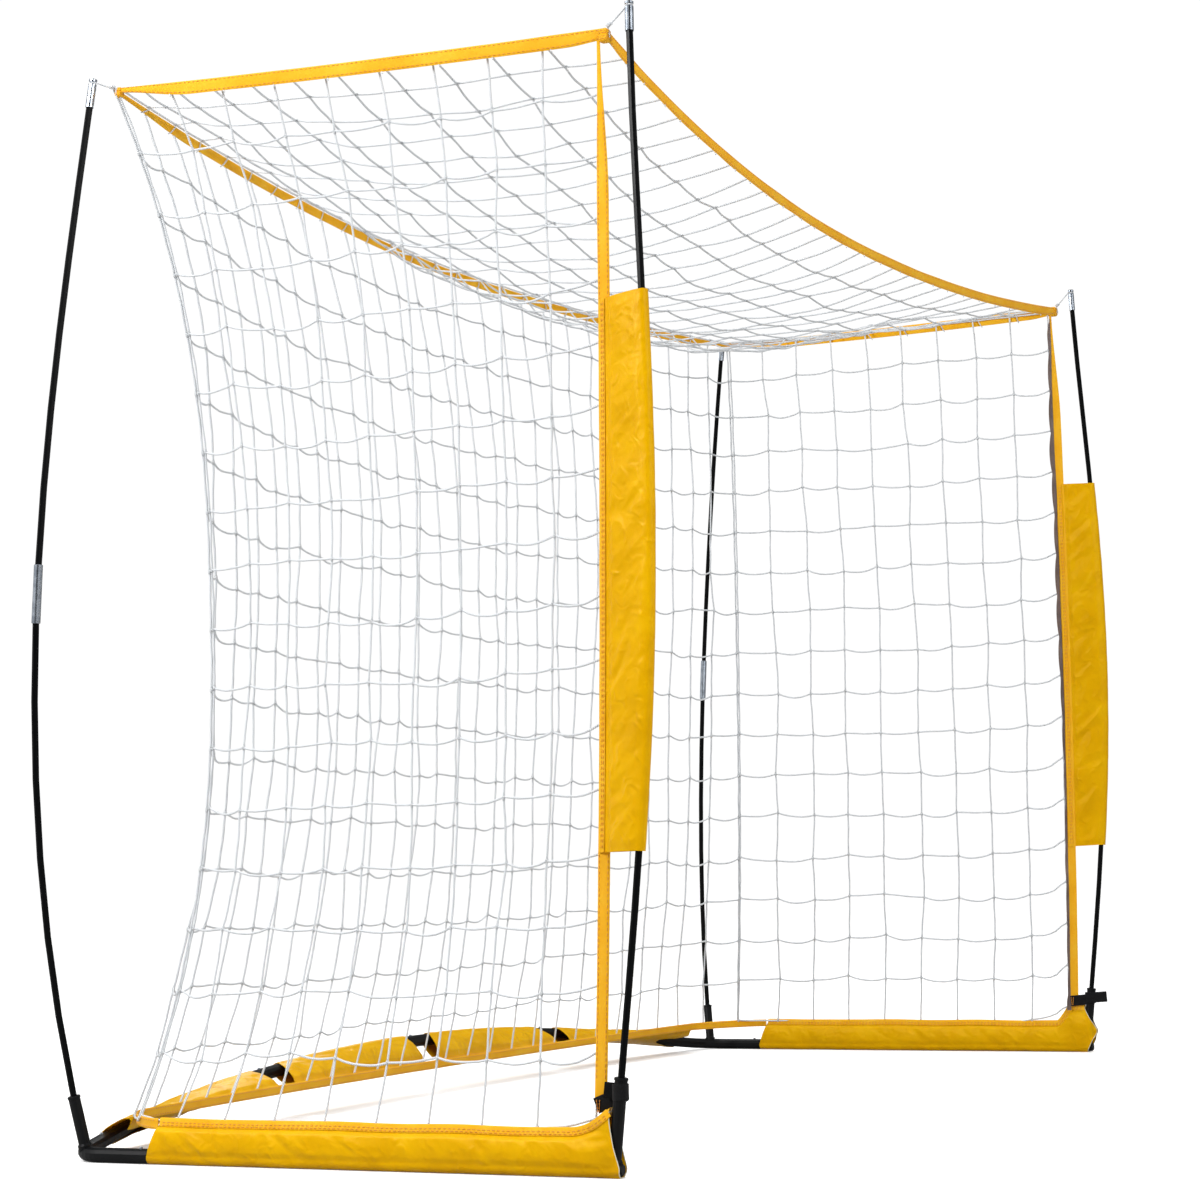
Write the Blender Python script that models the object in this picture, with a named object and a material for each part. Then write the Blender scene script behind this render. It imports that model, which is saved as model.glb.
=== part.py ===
"""Portable football goal with four bowed poles, a U-shaped tube base and a hung net.

Metres, +Z up. The mouth faces -Y. The goal is the same on both sides of X = 0, apart from which rear
tube end slides into which. All pieces hang under one empty, which sets the origin at the centre of the
footprint, on the ground.
"""
import math

import bmesh
import bpy
from mathutils import Vector

# Overall sizes
TIP_HEIGHT = 1.850
FOOT_HALF_WIDTH = 1.295
FOOT_HALF_DEPTH = 0.4965
BASE_SPLAY = 0.012
CORNER_BACK = 0.007
CLEARANCE = 0.0003

# Base tubes
ELBOW_TUBE_R = 0.0127
SIDE_TUBE_R = 0.0111
TUBE_WALL = 0.0012
ELBOW_BEND_R = 0.055
ELBOW_SIDE_LEG = 0.138
ELBOW_REAR_LEG = 0.118
SPIGOT_LENGTH = 0.048
SPIGOT_BORE_DEPTH = 0.044
SPIGOT_PLAY = 0.0003
SIDE_TUBE_OVERHANG = 0.0155
REAR_BOW = 0.110
REAR_BOW_POWER = 4.0
REAR_LIFT = 0.097
REAR_LIFT_POWER = 1.18
REAR_JOINTS = (-0.45, 0.0, 0.45)

# Snap buttons
BUTTON_R = 0.0030
BUTTON_HOLE_PLAY = 0.0003
BUTTON_FLANGE_R = 0.0042
BUTTON_FLANGE_T = 0.0010
BUTTON_FLANGE_DROP = 0.0013
BUTTON_STAND = 0.0036
BUTTON_FROM_MOUTH = 0.018

# Pole sockets
SOCKET_R = 0.0102
SOCKET_FLARE_R = 0.0122
SOCKET_RIM_R = 0.0111
SOCKET_RIM_LENGTH = 0.0040
SOCKET_FLOOR = 0.0040
REAR_SOCKET_LENGTH = 0.099
FRONT_SOCKET_LENGTH = 0.140

# Poles: how far each bows outwards, as (at mid height, skew towards the foot, evenness)
POLE_R = 0.00575
FRONT_TIP_SHIFT = (-0.049, 0.056)
REAR_TIP_SHIFT = (0.0556, -0.0699)
FRONT_BOW_X = (0.0170, 0.0, 0.0)
FRONT_BOW_Y = (0.0554, 0.0091, -0.0256)
REAR_BOW_X = (0.0609, 0.0187, -0.0067)
REAR_BOW_Y = (0.0665, 0.0208, 0.0011)
MID_FERRULE_HEIGHT = 0.958
MID_FERRULE_LENGTH = 0.100
MID_FERRULE_R = 0.0076
TIP_FERRULE_LENGTH = 0.041
TIP_FERRULE_R = 0.0072
TIP_NECK_R = 0.0038
TIP_NECK_LENGTH = 0.0040
TIP_HEAD_LENGTH = 0.0052
TIP_ENGAGEMENT = 0.030

# Net corners, measured from the pole tips towards the inside of the goal and down
FRONT_CORNER_IN = -0.003
FRONT_CORNER_BACK = 0.041
FRONT_CORNER_DROP = 0.039
REAR_CORNER_IN = 0.027
REAR_CORNER_BACK = -0.029
REAR_CORNER_DROP = 0.0145
TIE_R = 0.0014

# Bands
BAND_WIDTH = 0.022
BAND_T = 0.0016
CROSSBAR_SAG = 0.0616
CROSSBAR_PULL = 0.085
REAR_BAND_SAG = 0.040
REAR_BAND_PULL = 0.106
SIDE_BAND_SAG = 0.004
BAND_PULL_POWER = 1.6
CROSSBAR_SAG_POWER = 2.4
REAR_SAG_POWER = 2.1
FRONT_BAND_FOOT_X = FOOT_HALF_WIDTH - 0.010
FRONT_BAND_FOOT_Y = -FOOT_HALF_DEPTH + 0.0235
FRONT_BAND_FOOT_Z = 0.1375
FRONT_BAND_POWER = 2.2

# Cloth sleeves and the hem that the net is sewn to
CLOTH_T = 0.0012
SLEEVE_PLAY = 0.0004
SEAM_T = 0.0022
SEAM_HEIGHT = 0.075
SEAM_FLARE = 0.019
SEAM_FLARE_RUN = 0.075
SIDE_SLEEVE_SLANT = 0.026
SLEEVE_SOCKET_GAP = 0.0025
REAR_TAIL = 0.070
REAR_GAP = 0.100
REAR_GAP_SLANT = 0.022
HEM_WIDTH = 0.018
HEM_DROP = 0.006
HEM_REAR_SPAN = 0.88
HEM_CORNER_T = 0.375
HEM_PUCKER = 0.0030

# Shields round the front poles
SHIELD_TOP = 1.372
SHIELD_BOTTOM = 0.495
SHIELD_BORE_R = 0.0092
SHIELD_PUCKER = 0.0026

# Hook-and-loop straps
STRAP_WIDTH = 0.025
STRAP_T = 0.0016
STRAP_TAB = 0.014
STRAP_HEIGHT = 0.1170
STRAP_DROP = 0.0120

# Net
NET_CORD = 0.0030
NET_PITCH = 0.200
NET_LEAN = 0.0006
ROOF_SAG = 0.100
CORNER_INSET_X = 0.140
CORNER_INSET_Y = 0.075
CORNER_INSET_POWER = 2.5

# Fineness of the round shapes
TUBE_SIDES = 12
REAR_STEPS = 13
BEND_STEPS = 9
LATHE_SIDES = 16
UP = Vector((0.0, 0.0, 1.0))


def material(name, colour, roughness, metallic=0.0):
    """Make a plain Principled material from a linear colour."""
    mat = bpy.data.materials.new(name)
    mat.use_nodes = True
    shader = mat.node_tree.nodes["Principled BSDF"]
    shader.inputs["Base Color"].default_value = (*colour, 1.0)
    shader.inputs["Roughness"].default_value = roughness
    shader.inputs["Metallic"].default_value = metallic
    mat.diffuse_color = (*colour, 1.0)
    return mat


def lerp(a, b, t):
    """Blend two vectors or numbers."""
    return a + (b - a) * t


def spread(low, high, count):
    """Give evenly spaced numbers from low to high, both included."""
    return [lerp(low, high, i / (count - 1)) for i in range(count)]


def swell(s, power):
    """Give a bulge that is 1 at s = 0 and falls to 0 at s = -1 and 1."""
    return 1.0 - abs(s) ** power


# Base centreline

TUBE_Z = ELBOW_TUBE_R * math.cos(math.pi / TUBE_SIDES)


REAR_HALF_WIDTH = FOOT_HALF_WIDTH + BASE_SPLAY


def side_x(y):
    """How far a side run lies from the middle at y: the runs splay towards the rear."""
    return FOOT_HALF_WIDTH + BASE_SPLAY * (y + FOOT_HALF_DEPTH) / (2.0 * FOOT_HALF_DEPTH + CORNER_BACK)


def rear_run(s):
    """Point on the rear run's centreline, s from -1 at the left corner to 1 at the right."""
    lift = REAR_LIFT * max(0.0, 1.0 - s * s) ** REAR_LIFT_POWER
    back = FOOT_HALF_DEPTH + CORNER_BACK + REAR_BOW * swell(s, REAR_BOW_POWER)
    return Vector((REAR_HALF_WIDTH * s, back, TUBE_Z + lift))


def base_half():
    """Points of the left half of the base centreline, from its front end to the middle of the rear run."""
    corner = rear_run(-1.0)
    inward = (rear_run(-0.955) - corner).normalized()
    front_y = -FOOT_HALF_DEPTH - SIDE_TUBE_OVERHANG
    front = Vector((-side_x(front_y), front_y, TUBE_Z))
    forward = (front - corner).normalized()
    turn = math.pi - inward.angle(forward)
    setback = ELBOW_BEND_R * math.tan(turn / 2.0)
    start = corner + forward * setback
    end = corner + inward * setback
    points = [front]
    bisector = (forward + inward).normalized()
    centre = corner + bisector * (ELBOW_BEND_R / math.cos(turn / 2.0))
    arm_a = start - centre
    arm_b = end - centre
    for t in spread(0.0, 1.0, BEND_STEPS):
        swing = math.sin((1.0 - t) * turn) * arm_a + math.sin(t * turn) * arm_b
        points.append(centre + swing / math.sin(turn))
    s_after = -1.0 + (setback + 0.012) / REAR_HALF_WIDTH
    points += [rear_run(s) for s in spread(s_after, 0.0, REAR_STEPS)]
    return points


class Path:
    """A polyline that gives points and directions by distance along it."""

    def __init__(self, points):
        self.points = points
        self.marks = [0.0]
        for a, b in zip(points, points[1:]):
            self.marks.append(self.marks[-1] + (b - a).length)
        self.length = self.marks[-1]

    def at(self, distance):
        """Point at a distance from the start."""
        distance = min(max(distance, 0.0), self.length)
        for i in range(1, len(self.marks)):
            if distance <= self.marks[i]:
                t = (distance - self.marks[i - 1]) / (self.marks[i] - self.marks[i - 1])
                return lerp(self.points[i - 1], self.points[i], t)
        return self.points[-1].copy()

    def along(self, distance, near=1e-6):
        """Unit direction at a distance from the start: at a corner, halfway between its two sides."""
        before = self.at(distance - 2.0 * near)
        after = self.at(distance + 2.0 * near)
        for i, mark in enumerate(self.marks):
            if abs(mark - distance) < near:
                before = self.points[max(i - 1, 0)]
                after = self.points[min(i + 1, len(self.points) - 1)]
                here = self.points[i]
                if 0 < i < len(self.marks) - 1:
                    return ((here - before).normalized() + (after - here).normalized()).normalized()
            elif mark > distance:
                before = self.points[i - 1]
                after = self.points[i]
                break
        return (after - before).normalized()

    def between(self, a, b):
        """Marks of the corners that lie between two distances, in the order from a to b."""
        low = min(a, b) + 1e-4
        high = max(a, b) - 1e-4
        found = [mark for mark in self.marks if low < mark < high]
        return found if a <= b else list(reversed(found))

    def where(self, axis, value):
        """Distance at which a coordinate first passes a value."""
        for i in range(1, len(self.points)):
            a = self.points[i - 1][axis]
            b = self.points[i][axis]
            if (a - value) * (b - value) <= 0.0 and a != b:
                return lerp(self.marks[i - 1], self.marks[i], (value - a) / (b - a))
        return self.length


def base_path():
    """The whole base centreline, from the left front end round to the right front end."""
    left = base_half()
    right = [Vector((-p.x, p.y, p.z)) for p in reversed(left[:-1])]
    return Path(left + right)


BASE = base_path()
CORNER_MARK = BASE.marks[1 + BEND_STEPS // 2]


# Pole centrelines

def bow(u, terms):
    """Sideways bow of a pole at u, its share of the height."""
    v = 1.0 - 2.0 * u
    return 4.0 * u * (1.0 - u) * (terms[0] + terms[1] * v + terms[2] * v * v)


def foot_point(front):
    """Where a right-hand pole's axis meets the base centreline."""
    if front:
        return Vector((FOOT_HALF_WIDTH, -FOOT_HALF_DEPTH, TUBE_Z))
    left = BASE.at(CORNER_MARK)
    return Vector((-left.x, left.y, left.z))


def pole_point(side, front, z):
    """Point on a pole's natural curve at height z; side is -1 left or 1 right."""
    foot = foot_point(front)
    shift = FRONT_TIP_SHIFT if front else REAR_TIP_SHIFT
    bow_x = FRONT_BOW_X if front else REAR_BOW_X
    bow_y = FRONT_BOW_Y if front else REAR_BOW_Y
    ahead = -1.0 if front else 1.0
    u = (z - foot.z) / (TIP_HEIGHT - foot.z)
    x = foot.x + shift[0] * u + bow(u, bow_x)
    y = foot.y + ahead * (shift[1] * u + bow(u, bow_y))
    return Vector((side * x, y, z))


class Pole:
    """The straight and curved stretches of one pole."""

    def __init__(self, side, front):
        self.side = side
        self.front = front
        foot = foot_point(front)
        self.foot = Vector((side * foot.x, foot.y, foot.z))
        self.socket_length = FRONT_SOCKET_LENGTH if front else REAR_SOCKET_LENGTH
        self.tube_r = SIDE_TUBE_R if front else ELBOW_TUBE_R
        self.socket_z = self.foot.z + self.socket_length * 0.985
        self.axis = (self.point(self.socket_z) - self.foot).normalized()
        self.ferrule_low = self.point(MID_FERRULE_HEIGHT - MID_FERRULE_LENGTH / 2.0)
        self.ferrule_high = self.point(MID_FERRULE_HEIGHT + MID_FERRULE_LENGTH / 2.0)
        self.tip_low = self.point(TIP_HEIGHT - TIP_FERRULE_LENGTH - TIP_NECK_LENGTH - TIP_HEAD_LENGTH)
        self.tip = self.point(TIP_HEIGHT)
        self.tip_axis = (self.tip - self.tip_low).normalized()

    def point(self, z):
        """Point on the pole's curve at height z."""
        return pole_point(self.side, self.front, z)

    def lower(self):
        """Centreline of the lower pole, from the socket floor to the middle of the ferrule."""
        start = self.foot + self.axis * (self.tube_r + SOCKET_FLOOR + CLEARANCE)
        middle = lerp(self.ferrule_low, self.ferrule_high, 0.5)
        join = middle - (self.ferrule_high - self.ferrule_low).normalized() * CLEARANCE
        heights = spread(self.socket_z, self.ferrule_low.z, 7)
        return [start] + [self.point(z) for z in heights] + [join]

    def upper(self):
        """Centreline of the upper pole, from the middle of the ferrule into the tip ferrule."""
        middle = lerp(self.ferrule_low, self.ferrule_high, 0.5)
        join = middle + (self.ferrule_high - self.ferrule_low).normalized() * CLEARANCE
        heights = spread(self.ferrule_high.z, self.tip_low.z, 7)
        end = self.tip_low + self.tip_axis * (TIP_ENGAGEMENT - CLEARANCE)
        return [join] + [self.point(z) for z in heights] + [end]


POLES = {
    "rear_left": Pole(-1.0, False),
    "front_left": Pole(-1.0, True),
    "front_right": Pole(1.0, True),
    "rear_right": Pole(1.0, False),
}


# Mesh helpers

def finish(name, bm, mat, smooth=True, angle=40.0):
    """Turn a bmesh into an object under the root empty."""
    bmesh.ops.remove_doubles(bm, verts=bm.verts, dist=1e-6)
    bmesh.ops.recalc_face_normals(bm, faces=bm.faces)
    mesh = bpy.data.meshes.new(name)
    bm.to_mesh(mesh)
    bm.free()
    obj = bpy.data.objects.new(name, mesh)
    bpy.context.collection.objects.link(obj)
    mesh.materials.append(mat)
    if smooth:
        mesh.shade_smooth()
        mesh.set_sharp_from_angle(angle=math.radians(angle))
    obj.parent = ROOT
    return obj


def loft(name, rings, mat, holes=None, smooth=True):
    """Skin a row of closed rings; with holes, an inner row makes the piece a tube with open ends."""
    bm = bmesh.new()
    count = len(rings[0])

    def skin(rows):
        made = [[bm.verts.new(p) for p in row] for row in rows]
        for a, b in zip(made, made[1:]):
            for i in range(count):
                j = (i + 1) % count
                bm.faces.new((a[i], a[j], b[j], b[i]))
        return made

    outer = skin(rings)
    if holes is None:
        bm.faces.new(outer[0])
        bm.faces.new(outer[-1])
    else:
        inner = skin(holes)
        for a, b in ((outer[0], inner[0]), (outer[-1], inner[-1])):
            for i in range(count):
                j = (i + 1) % count
                bm.faces.new((a[i], a[j], b[j], b[i]))
    return finish(name, bm, mat, smooth)


def ring(centre, tangent, radius, sides, up=UP):
    """Circle of points square to the tangent, with a flat side towards up."""
    across = tangent.cross(up).normalized()
    top = across.cross(tangent).normalized()
    points = []
    for i in range(sides):
        angle = 2.0 * math.pi * (i + 0.5) / sides
        points.append(centre + (across * math.sin(angle) + top * math.cos(angle)) * radius)
    return points


def turned(name, profile, mat, origin, axis, sides=LATHE_SIDES):
    """Spin a closed (radius, height) profile round the local Z axis and stand it along an axis."""
    bm = bmesh.new()
    verts = [bm.verts.new((r, 0.0, z)) for r, z in profile]
    edges = [bm.edges.new((a, b)) for a, b in zip(verts, verts[1:] + verts[:1])]
    bmesh.ops.spin(bm, geom=verts + edges, cent=(0, 0, 0), axis=(0, 0, 1), angle=2.0 * math.pi, steps=sides)
    bmesh.ops.remove_doubles(bm, verts=bm.verts, dist=1e-6)
    bmesh.ops.dissolve_degenerate(bm, dist=1e-7, edges=bm.edges)
    loose = [f for f in bm.faces if f.calc_area() < 1e-12]
    bmesh.ops.delete(bm, geom=loose, context="FACES")
    stray = [e for e in bm.edges if not e.link_faces]
    bmesh.ops.delete(bm, geom=stray, context="EDGES")
    obj = finish(name, bm, mat)
    obj.location = origin
    obj.rotation_mode = "QUATERNION"
    obj.rotation_quaternion = axis.to_track_quat("Z", "Y")
    return obj


def rod(name, points, radius, mat):
    """A round bar along a polyline, made as a bevelled curve with filled ends."""
    curve = bpy.data.curves.new(name, "CURVE")
    curve.dimensions = "3D"
    curve.bevel_depth = radius
    curve.bevel_resolution = 2
    curve.use_fill_caps = True
    curve.twist_mode = "MINIMUM"
    spline = curve.splines.new("POLY")
    spline.points.add(len(points) - 1)
    for target, point in zip(spline.points, points):
        target.co = (*point, 1.0)
    spline.use_smooth = True
    curve.materials.append(mat)
    obj = bpy.data.objects.new(name, curve)
    bpy.context.collection.objects.link(obj)
    obj.parent = ROOT
    return obj


def ribbon(name, centres, width_dirs, normals, width, thickness, mat):
    """A flat band: a rectangle carried along its centreline."""
    rings = []
    for c, w, n in zip(centres, width_dirs, normals):
        half_w = w * (width / 2.0)
        half_n = n * (thickness / 2.0)
        rings.append([c + half_w + half_n, c - half_w + half_n, c - half_w - half_n, c + half_w - half_n])
    return loft(name, rings, mat, smooth=False)


def cut(target, cutter):
    """Subtract a cutter, which is kept as a hidden guide."""
    cutter.hide_render = True
    cutter.display_type = "WIRE"
    mod = target.modifiers.new(cutter.name, "BOOLEAN")
    mod.operation = "DIFFERENCE"
    mod.solver = "EXACT"
    mod.object = cutter


# Base tubes

def inner_radius(outer):
    """Bore of a tube of the common wall."""
    return outer - TUBE_WALL


def tube_piece(name, stations, mat, path=BASE):
    """Carry a circle of changing radius along the base; stations are (distance, radius)."""
    full = stations[:1]
    for (a, r_a), (b, r_b) in zip(stations, stations[1:]):
        full += [(d, lerp(r_a, r_b, (d - a) / (b - a))) for d in path.between(a, b)]
        full.append((b, r_b))
    rings = [ring(path.at(d), path.along(d), r, TUBE_SIDES) for d, r in full]
    return loft(name, rings, mat)


def spigot_radius():
    """Outer radius of a reduced tube end that slides into the next tube."""
    return inner_radius(ELBOW_TUBE_R) - SPIGOT_PLAY / math.cos(math.pi / TUBE_SIDES)


def male_end(mouth, into, reach):
    """Stations of a hollow reduced end: from its blind bore out over its tip to the shoulder.

    into is 1 when the end points along the path and -1 when it points back.
    """
    tip = mouth + into * reach
    hollow = tip - into * SPIGOT_BORE_DEPTH
    shoulder = mouth - into * CLEARANCE
    bore = inner_radius(spigot_radius())
    radius = spigot_radius()
    return [(shoulder, ELBOW_TUBE_R), (shoulder, radius), (tip, radius), (tip, bore), (hollow, bore)]


def female_end(mouth, into):
    """Stations of a bored end: the outer edge of the mouth, then the bore and its floor.

    into is 1 when the mouth faces along the path and -1 when it faces back.
    """
    floor = mouth - into * (SPIGOT_LENGTH + 0.006)
    bore = inner_radius(ELBOW_TUBE_R)
    return [(mouth, ELBOW_TUBE_R), (mouth, bore), (floor, bore)]


def rear_mark(s):
    """Distance along the base at which the rear run passes s."""
    return BASE.where(0, REAR_HALF_WIDTH * s)


SIDE_MOUTH = BASE.where(1, FOOT_HALF_DEPTH - ELBOW_SIDE_LEG)
REAR_MOUTH = CORNER_MARK + ELBOW_REAR_LEG
JOINT_MARKS = [REAR_MOUTH] + [rear_mark(s) for s in REAR_JOINTS] + [BASE.length - REAR_MOUTH]


def build_elbow(name, left):
    """One bent corner tube with a bored mouth at each leg."""
    stations = list(reversed(female_end(SIDE_MOUTH, -1)))
    stations += female_end(REAR_MOUTH, 1)
    if not left:
        stations = [(BASE.length - d, r) for d, r in reversed(stations)]
    return tube_piece(name, stations, STEEL)


def build_side_tube(name, left):
    """A side tube: closed and rounded at the front, hollow where it enters the elbow."""
    radius = SIDE_TUBE_R
    bore = inner_radius(radius)
    tip = SIDE_MOUTH + SPIGOT_LENGTH
    stations = [
        (0.0, radius * 0.72),
        (0.0035, radius),
        (SIDE_MOUTH, radius),
        (tip, radius),
        (tip, bore),
        (tip - SPIGOT_BORE_DEPTH, bore),
    ]
    if not left:
        stations = [(BASE.length - d, r) for d, r in reversed(stations)]
    return tube_piece(name, stations, STEEL)


def build_rear_tubes():
    """Four rear tubes: each enters the piece on its left, and the last enters both neighbours."""
    last = len(JOINT_MARKS) - 2
    for i in range(last + 1):
        start = JOINT_MARKS[i]
        end = JOINT_MARKS[i + 1]
        head = male_end(start, -1, SPIGOT_LENGTH)
        stations = list(reversed(head))
        if i == last:
            stations += male_end(end, 1, SPIGOT_LENGTH)
        else:
            stations += female_end(end, 1)
        tube_piece(f"rear_tube_{i + 1}", stations, STEEL)


def button_frame(mark):
    """Centre on the tube axis, and the direction in which a button stands out."""
    tangent = BASE.along(mark)
    across = tangent.cross(UP).normalized()
    return BASE.at(mark), across.cross(tangent).normalized()


def button_marks():
    """Name, distance, outer piece and inner piece of each snap button."""
    rows = [
        ("side_button_left", SIDE_MOUTH + BUTTON_FROM_MOUTH, "corner_elbow_left", "side_tube_left", SIDE_TUBE_R),
        ("side_button_right", BASE.length - SIDE_MOUTH - BUTTON_FROM_MOUTH, "corner_elbow_right",
         "side_tube_right", SIDE_TUBE_R),
    ]
    outers = ["corner_elbow_left", "rear_tube_1", "rear_tube_2", "rear_tube_3"]
    inners = ["rear_tube_1", "rear_tube_2", "rear_tube_3", "rear_tube_4"]
    for i, (outer, inner) in enumerate(zip(outers, inners)):
        rows.append((f"rear_button_{i + 1}", JOINT_MARKS[i] - BUTTON_FROM_MOUTH, outer, inner, spigot_radius()))
    rows.append(("rear_button_5", JOINT_MARKS[4] + BUTTON_FROM_MOUTH, "corner_elbow_right", "rear_tube_4",
                 spigot_radius()))
    return rows


def build_buttons():
    """Snap buttons, each in a hole through the outer and the inner tube."""
    flat = math.cos(math.pi / TUBE_SIDES)
    for name, mark, outer, inner, inner_r in button_marks():
        centre, up = button_frame(mark)
        top = ELBOW_TUBE_R * flat + BUTTON_STAND
        shelf = inner_radius(inner_r) * flat - BUTTON_FLANGE_DROP
        dome = BUTTON_R * 0.55
        profile = [
            (0.0, shelf - BUTTON_FLANGE_T),
            (BUTTON_FLANGE_R, shelf - BUTTON_FLANGE_T),
            (BUTTON_FLANGE_R, shelf),
            (BUTTON_R, shelf),
            (BUTTON_R, top - dome),
            (BUTTON_R * 0.72, top - dome * 0.32),
            (0.0, top),
        ]
        turned(name, profile, CHROME, centre, up, sides=12)
        hole = BUTTON_R + BUTTON_HOLE_PLAY
        reach = ELBOW_TUBE_R + 0.004
        drill = turned(f"{name}_drill", [(0.0, shelf * 0.6), (hole, shelf * 0.6), (hole, reach), (0.0, reach)],
                       STEEL, centre, up, sides=12)
        for tube in (outer, inner):
            cut(bpy.data.objects[tube], drill)


# Sockets, poles, ferrules and tips

def build_socket(key, pole):
    """A socket stub whose foot is coped to sit on the tube under it."""
    bore = (POLE_R + CLEARANCE) / math.cos(math.pi / LATHE_SIDES)
    length = pole.socket_length
    floor = pole.tube_r + SOCKET_FLOOR
    rim_low = length - SOCKET_RIM_LENGTH
    profile = [
        (0.0, 0.0),
        (SOCKET_FLARE_R, 0.0),
        (SOCKET_FLARE_R, pole.tube_r + 0.0015),
        (SOCKET_R, pole.tube_r + 0.0050),
        (SOCKET_R, rim_low - 0.0008),
        (SOCKET_RIM_R, rim_low),
        (SOCKET_RIM_R, length - 0.0008),
        (SOCKET_R, length),
        (bore, length),
        (bore, floor),
        (0.0, floor),
    ]
    socket = turned(f"socket_{key}", profile, STEEL, pole.foot, pole.axis)
    if pole.front:
        mark = FRONT_SOCKET_MARK
    else:
        mark = CORNER_MARK
    if pole.side > 0.0:
        mark = BASE.length - mark
    reach = 0.030
    low = max(mark - reach, 0.0005)
    high = min(mark + reach, BASE.length - 0.0005)
    radius = pole.tube_r + CLEARANCE / math.cos(math.pi / TUBE_SIDES)
    saddle = tube_piece(f"socket_{key}_saddle", [(low, radius), (high, radius)], STEEL)
    cut(socket, saddle)


FRONT_SOCKET_MARK = BASE.where(1, -FOOT_HALF_DEPTH)


def build_pole(key, pole):
    """Lower pole, joining ferrule, upper pole and tip."""
    rod(f"lower_pole_{key}", pole.lower(), POLE_R, FIBREGLASS)
    rod(f"upper_pole_{key}", pole.upper(), POLE_R, FIBREGLASS)
    bore = (POLE_R + CLEARANCE) / math.cos(math.pi / LATHE_SIDES)
    run = (pole.ferrule_high - pole.ferrule_low).length
    edge = 0.0006
    profile = [
        (bore, 0.0),
        (MID_FERRULE_R - edge, 0.0),
        (MID_FERRULE_R, edge),
        (MID_FERRULE_R, run - edge),
        (MID_FERRULE_R - edge, run),
        (bore, run),
    ]
    axis = (pole.ferrule_high - pole.ferrule_low).normalized()
    turned(f"mid_ferrule_{key}", profile, CHROME, pole.ferrule_low, axis)
    full = (pole.tip - pole.tip_low).length
    neck_high = full - TIP_HEAD_LENGTH
    neck_low = neck_high - TIP_NECK_LENGTH
    profile = [
        (bore, 0.0),
        (TIP_FERRULE_R, 0.0),
        (TIP_FERRULE_R, neck_low - edge),
        (TIP_FERRULE_R - edge, neck_low),
        (TIP_NECK_R, neck_low),
        (TIP_NECK_R, neck_high),
        (TIP_FERRULE_R, neck_high),
        (TIP_FERRULE_R, full - edge * 2.0),
        (TIP_FERRULE_R * 0.7, full),
        (0.0, full),
        (0.0, TIP_ENGAGEMENT),
        (bore, TIP_ENGAGEMENT),
    ]
    turned(f"pole_tip_{key}", profile, CHROME, pole.tip_low, pole.tip_axis)


# Net corners and bands

def front_corner(side):
    """Top of the net's front corner."""
    tip = POLES["front_right"].tip
    return Vector((side * (tip.x - FRONT_CORNER_IN), tip.y + FRONT_CORNER_BACK, tip.z - FRONT_CORNER_DROP))


def rear_corner(side):
    """Top of the net's rear corner."""
    tip = POLES["rear_right"].tip
    return Vector((side * (tip.x - REAR_CORNER_IN), tip.y + REAR_CORNER_BACK, tip.z - REAR_CORNER_DROP))


def net_counts():
    """How many cells the net has across the goal, up it and from front to back."""
    across = max(4, round(2.0 * rear_corner(1.0).x / NET_PITCH))
    up = max(4, round(TIP_HEIGHT / NET_PITCH))
    back = max(3, round((rear_corner(1.0).y - front_corner(1.0).y) / NET_PITCH))
    return across, up, back


def crossbar_line(s, inset, drop):
    """Point on the crossbar's line, s from -1 to 1; inset is taken off each end and drop off the height."""
    corner = front_corner(1.0)
    x = (corner.x - inset) * s
    y = corner.y + CROSSBAR_PULL * swell(s, BAND_PULL_POWER)
    z = corner.z - drop - CROSSBAR_SAG * swell(s, CROSSBAR_SAG_POWER)
    return Vector((x, y, z))


def rear_line(s, inset, drop):
    """Point on the rear top band's line, as for the crossbar."""
    corner = rear_corner(1.0)
    x = (corner.x - inset) * s
    y = corner.y + REAR_BAND_PULL * swell(s, BAND_PULL_POWER)
    z = corner.z - drop - REAR_BAND_SAG * swell(s, REAR_SAG_POWER)
    return Vector((x, y, z))


def side_line(side, t, drop):
    """Point on a side top band's line, t from 0 at the front corner to 1 at the rear one."""
    point = lerp(front_corner(side), rear_corner(side), t)
    point.z -= drop + SIDE_BAND_SAG * swell(2.0 * t - 1.0, 2.0)
    return point


def front_rows():
    """Heights at which the net's rows meet a front upright band, from the seam to the side band."""
    low = seam_height(FRONT_BAND_FOOT_Y) + CLEARANCE * 2.0
    high = front_corner(1.0).z - BAND_WIDTH - CLEARANCE * 3.0
    return spread(low, high, net_counts()[1] + 1)


def front_edge(side, z):
    """As the upright band's line, but carried on straight below the band's foot."""
    if z >= FRONT_BAND_FOOT_Z:
        return front_band_line(side, z)
    foot = front_band_line(side, FRONT_BAND_FOOT_Z)
    above = front_band_line(side, front_rows()[1])
    return foot + (foot - above) * ((foot.z - z) / (above.z - foot.z))


def front_band_line(side, z):
    """Point on a front upright band's centreline at height z."""
    top = front_corner(side)
    top_z = top.z - BAND_WIDTH
    u = min(max((z - FRONT_BAND_FOOT_Z) / (top_z - FRONT_BAND_FOOT_Z), 0.0), 1.0)
    ease = 1.0 - (1.0 - u) ** FRONT_BAND_POWER
    top_y = top.y + BAND_WIDTH / 2.0 - BAND_T / 2.0
    return Vector((side * lerp(FRONT_BAND_FOOT_X, abs(top.x), u), lerp(FRONT_BAND_FOOT_Y, top_y, ease), z))


def tangents(points):
    """Unit directions along a row of points."""
    last = len(points) - 1
    return [(points[min(i + 1, last)] - points[max(i - 1, 0)]).normalized() for i in range(last + 1)]


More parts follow.
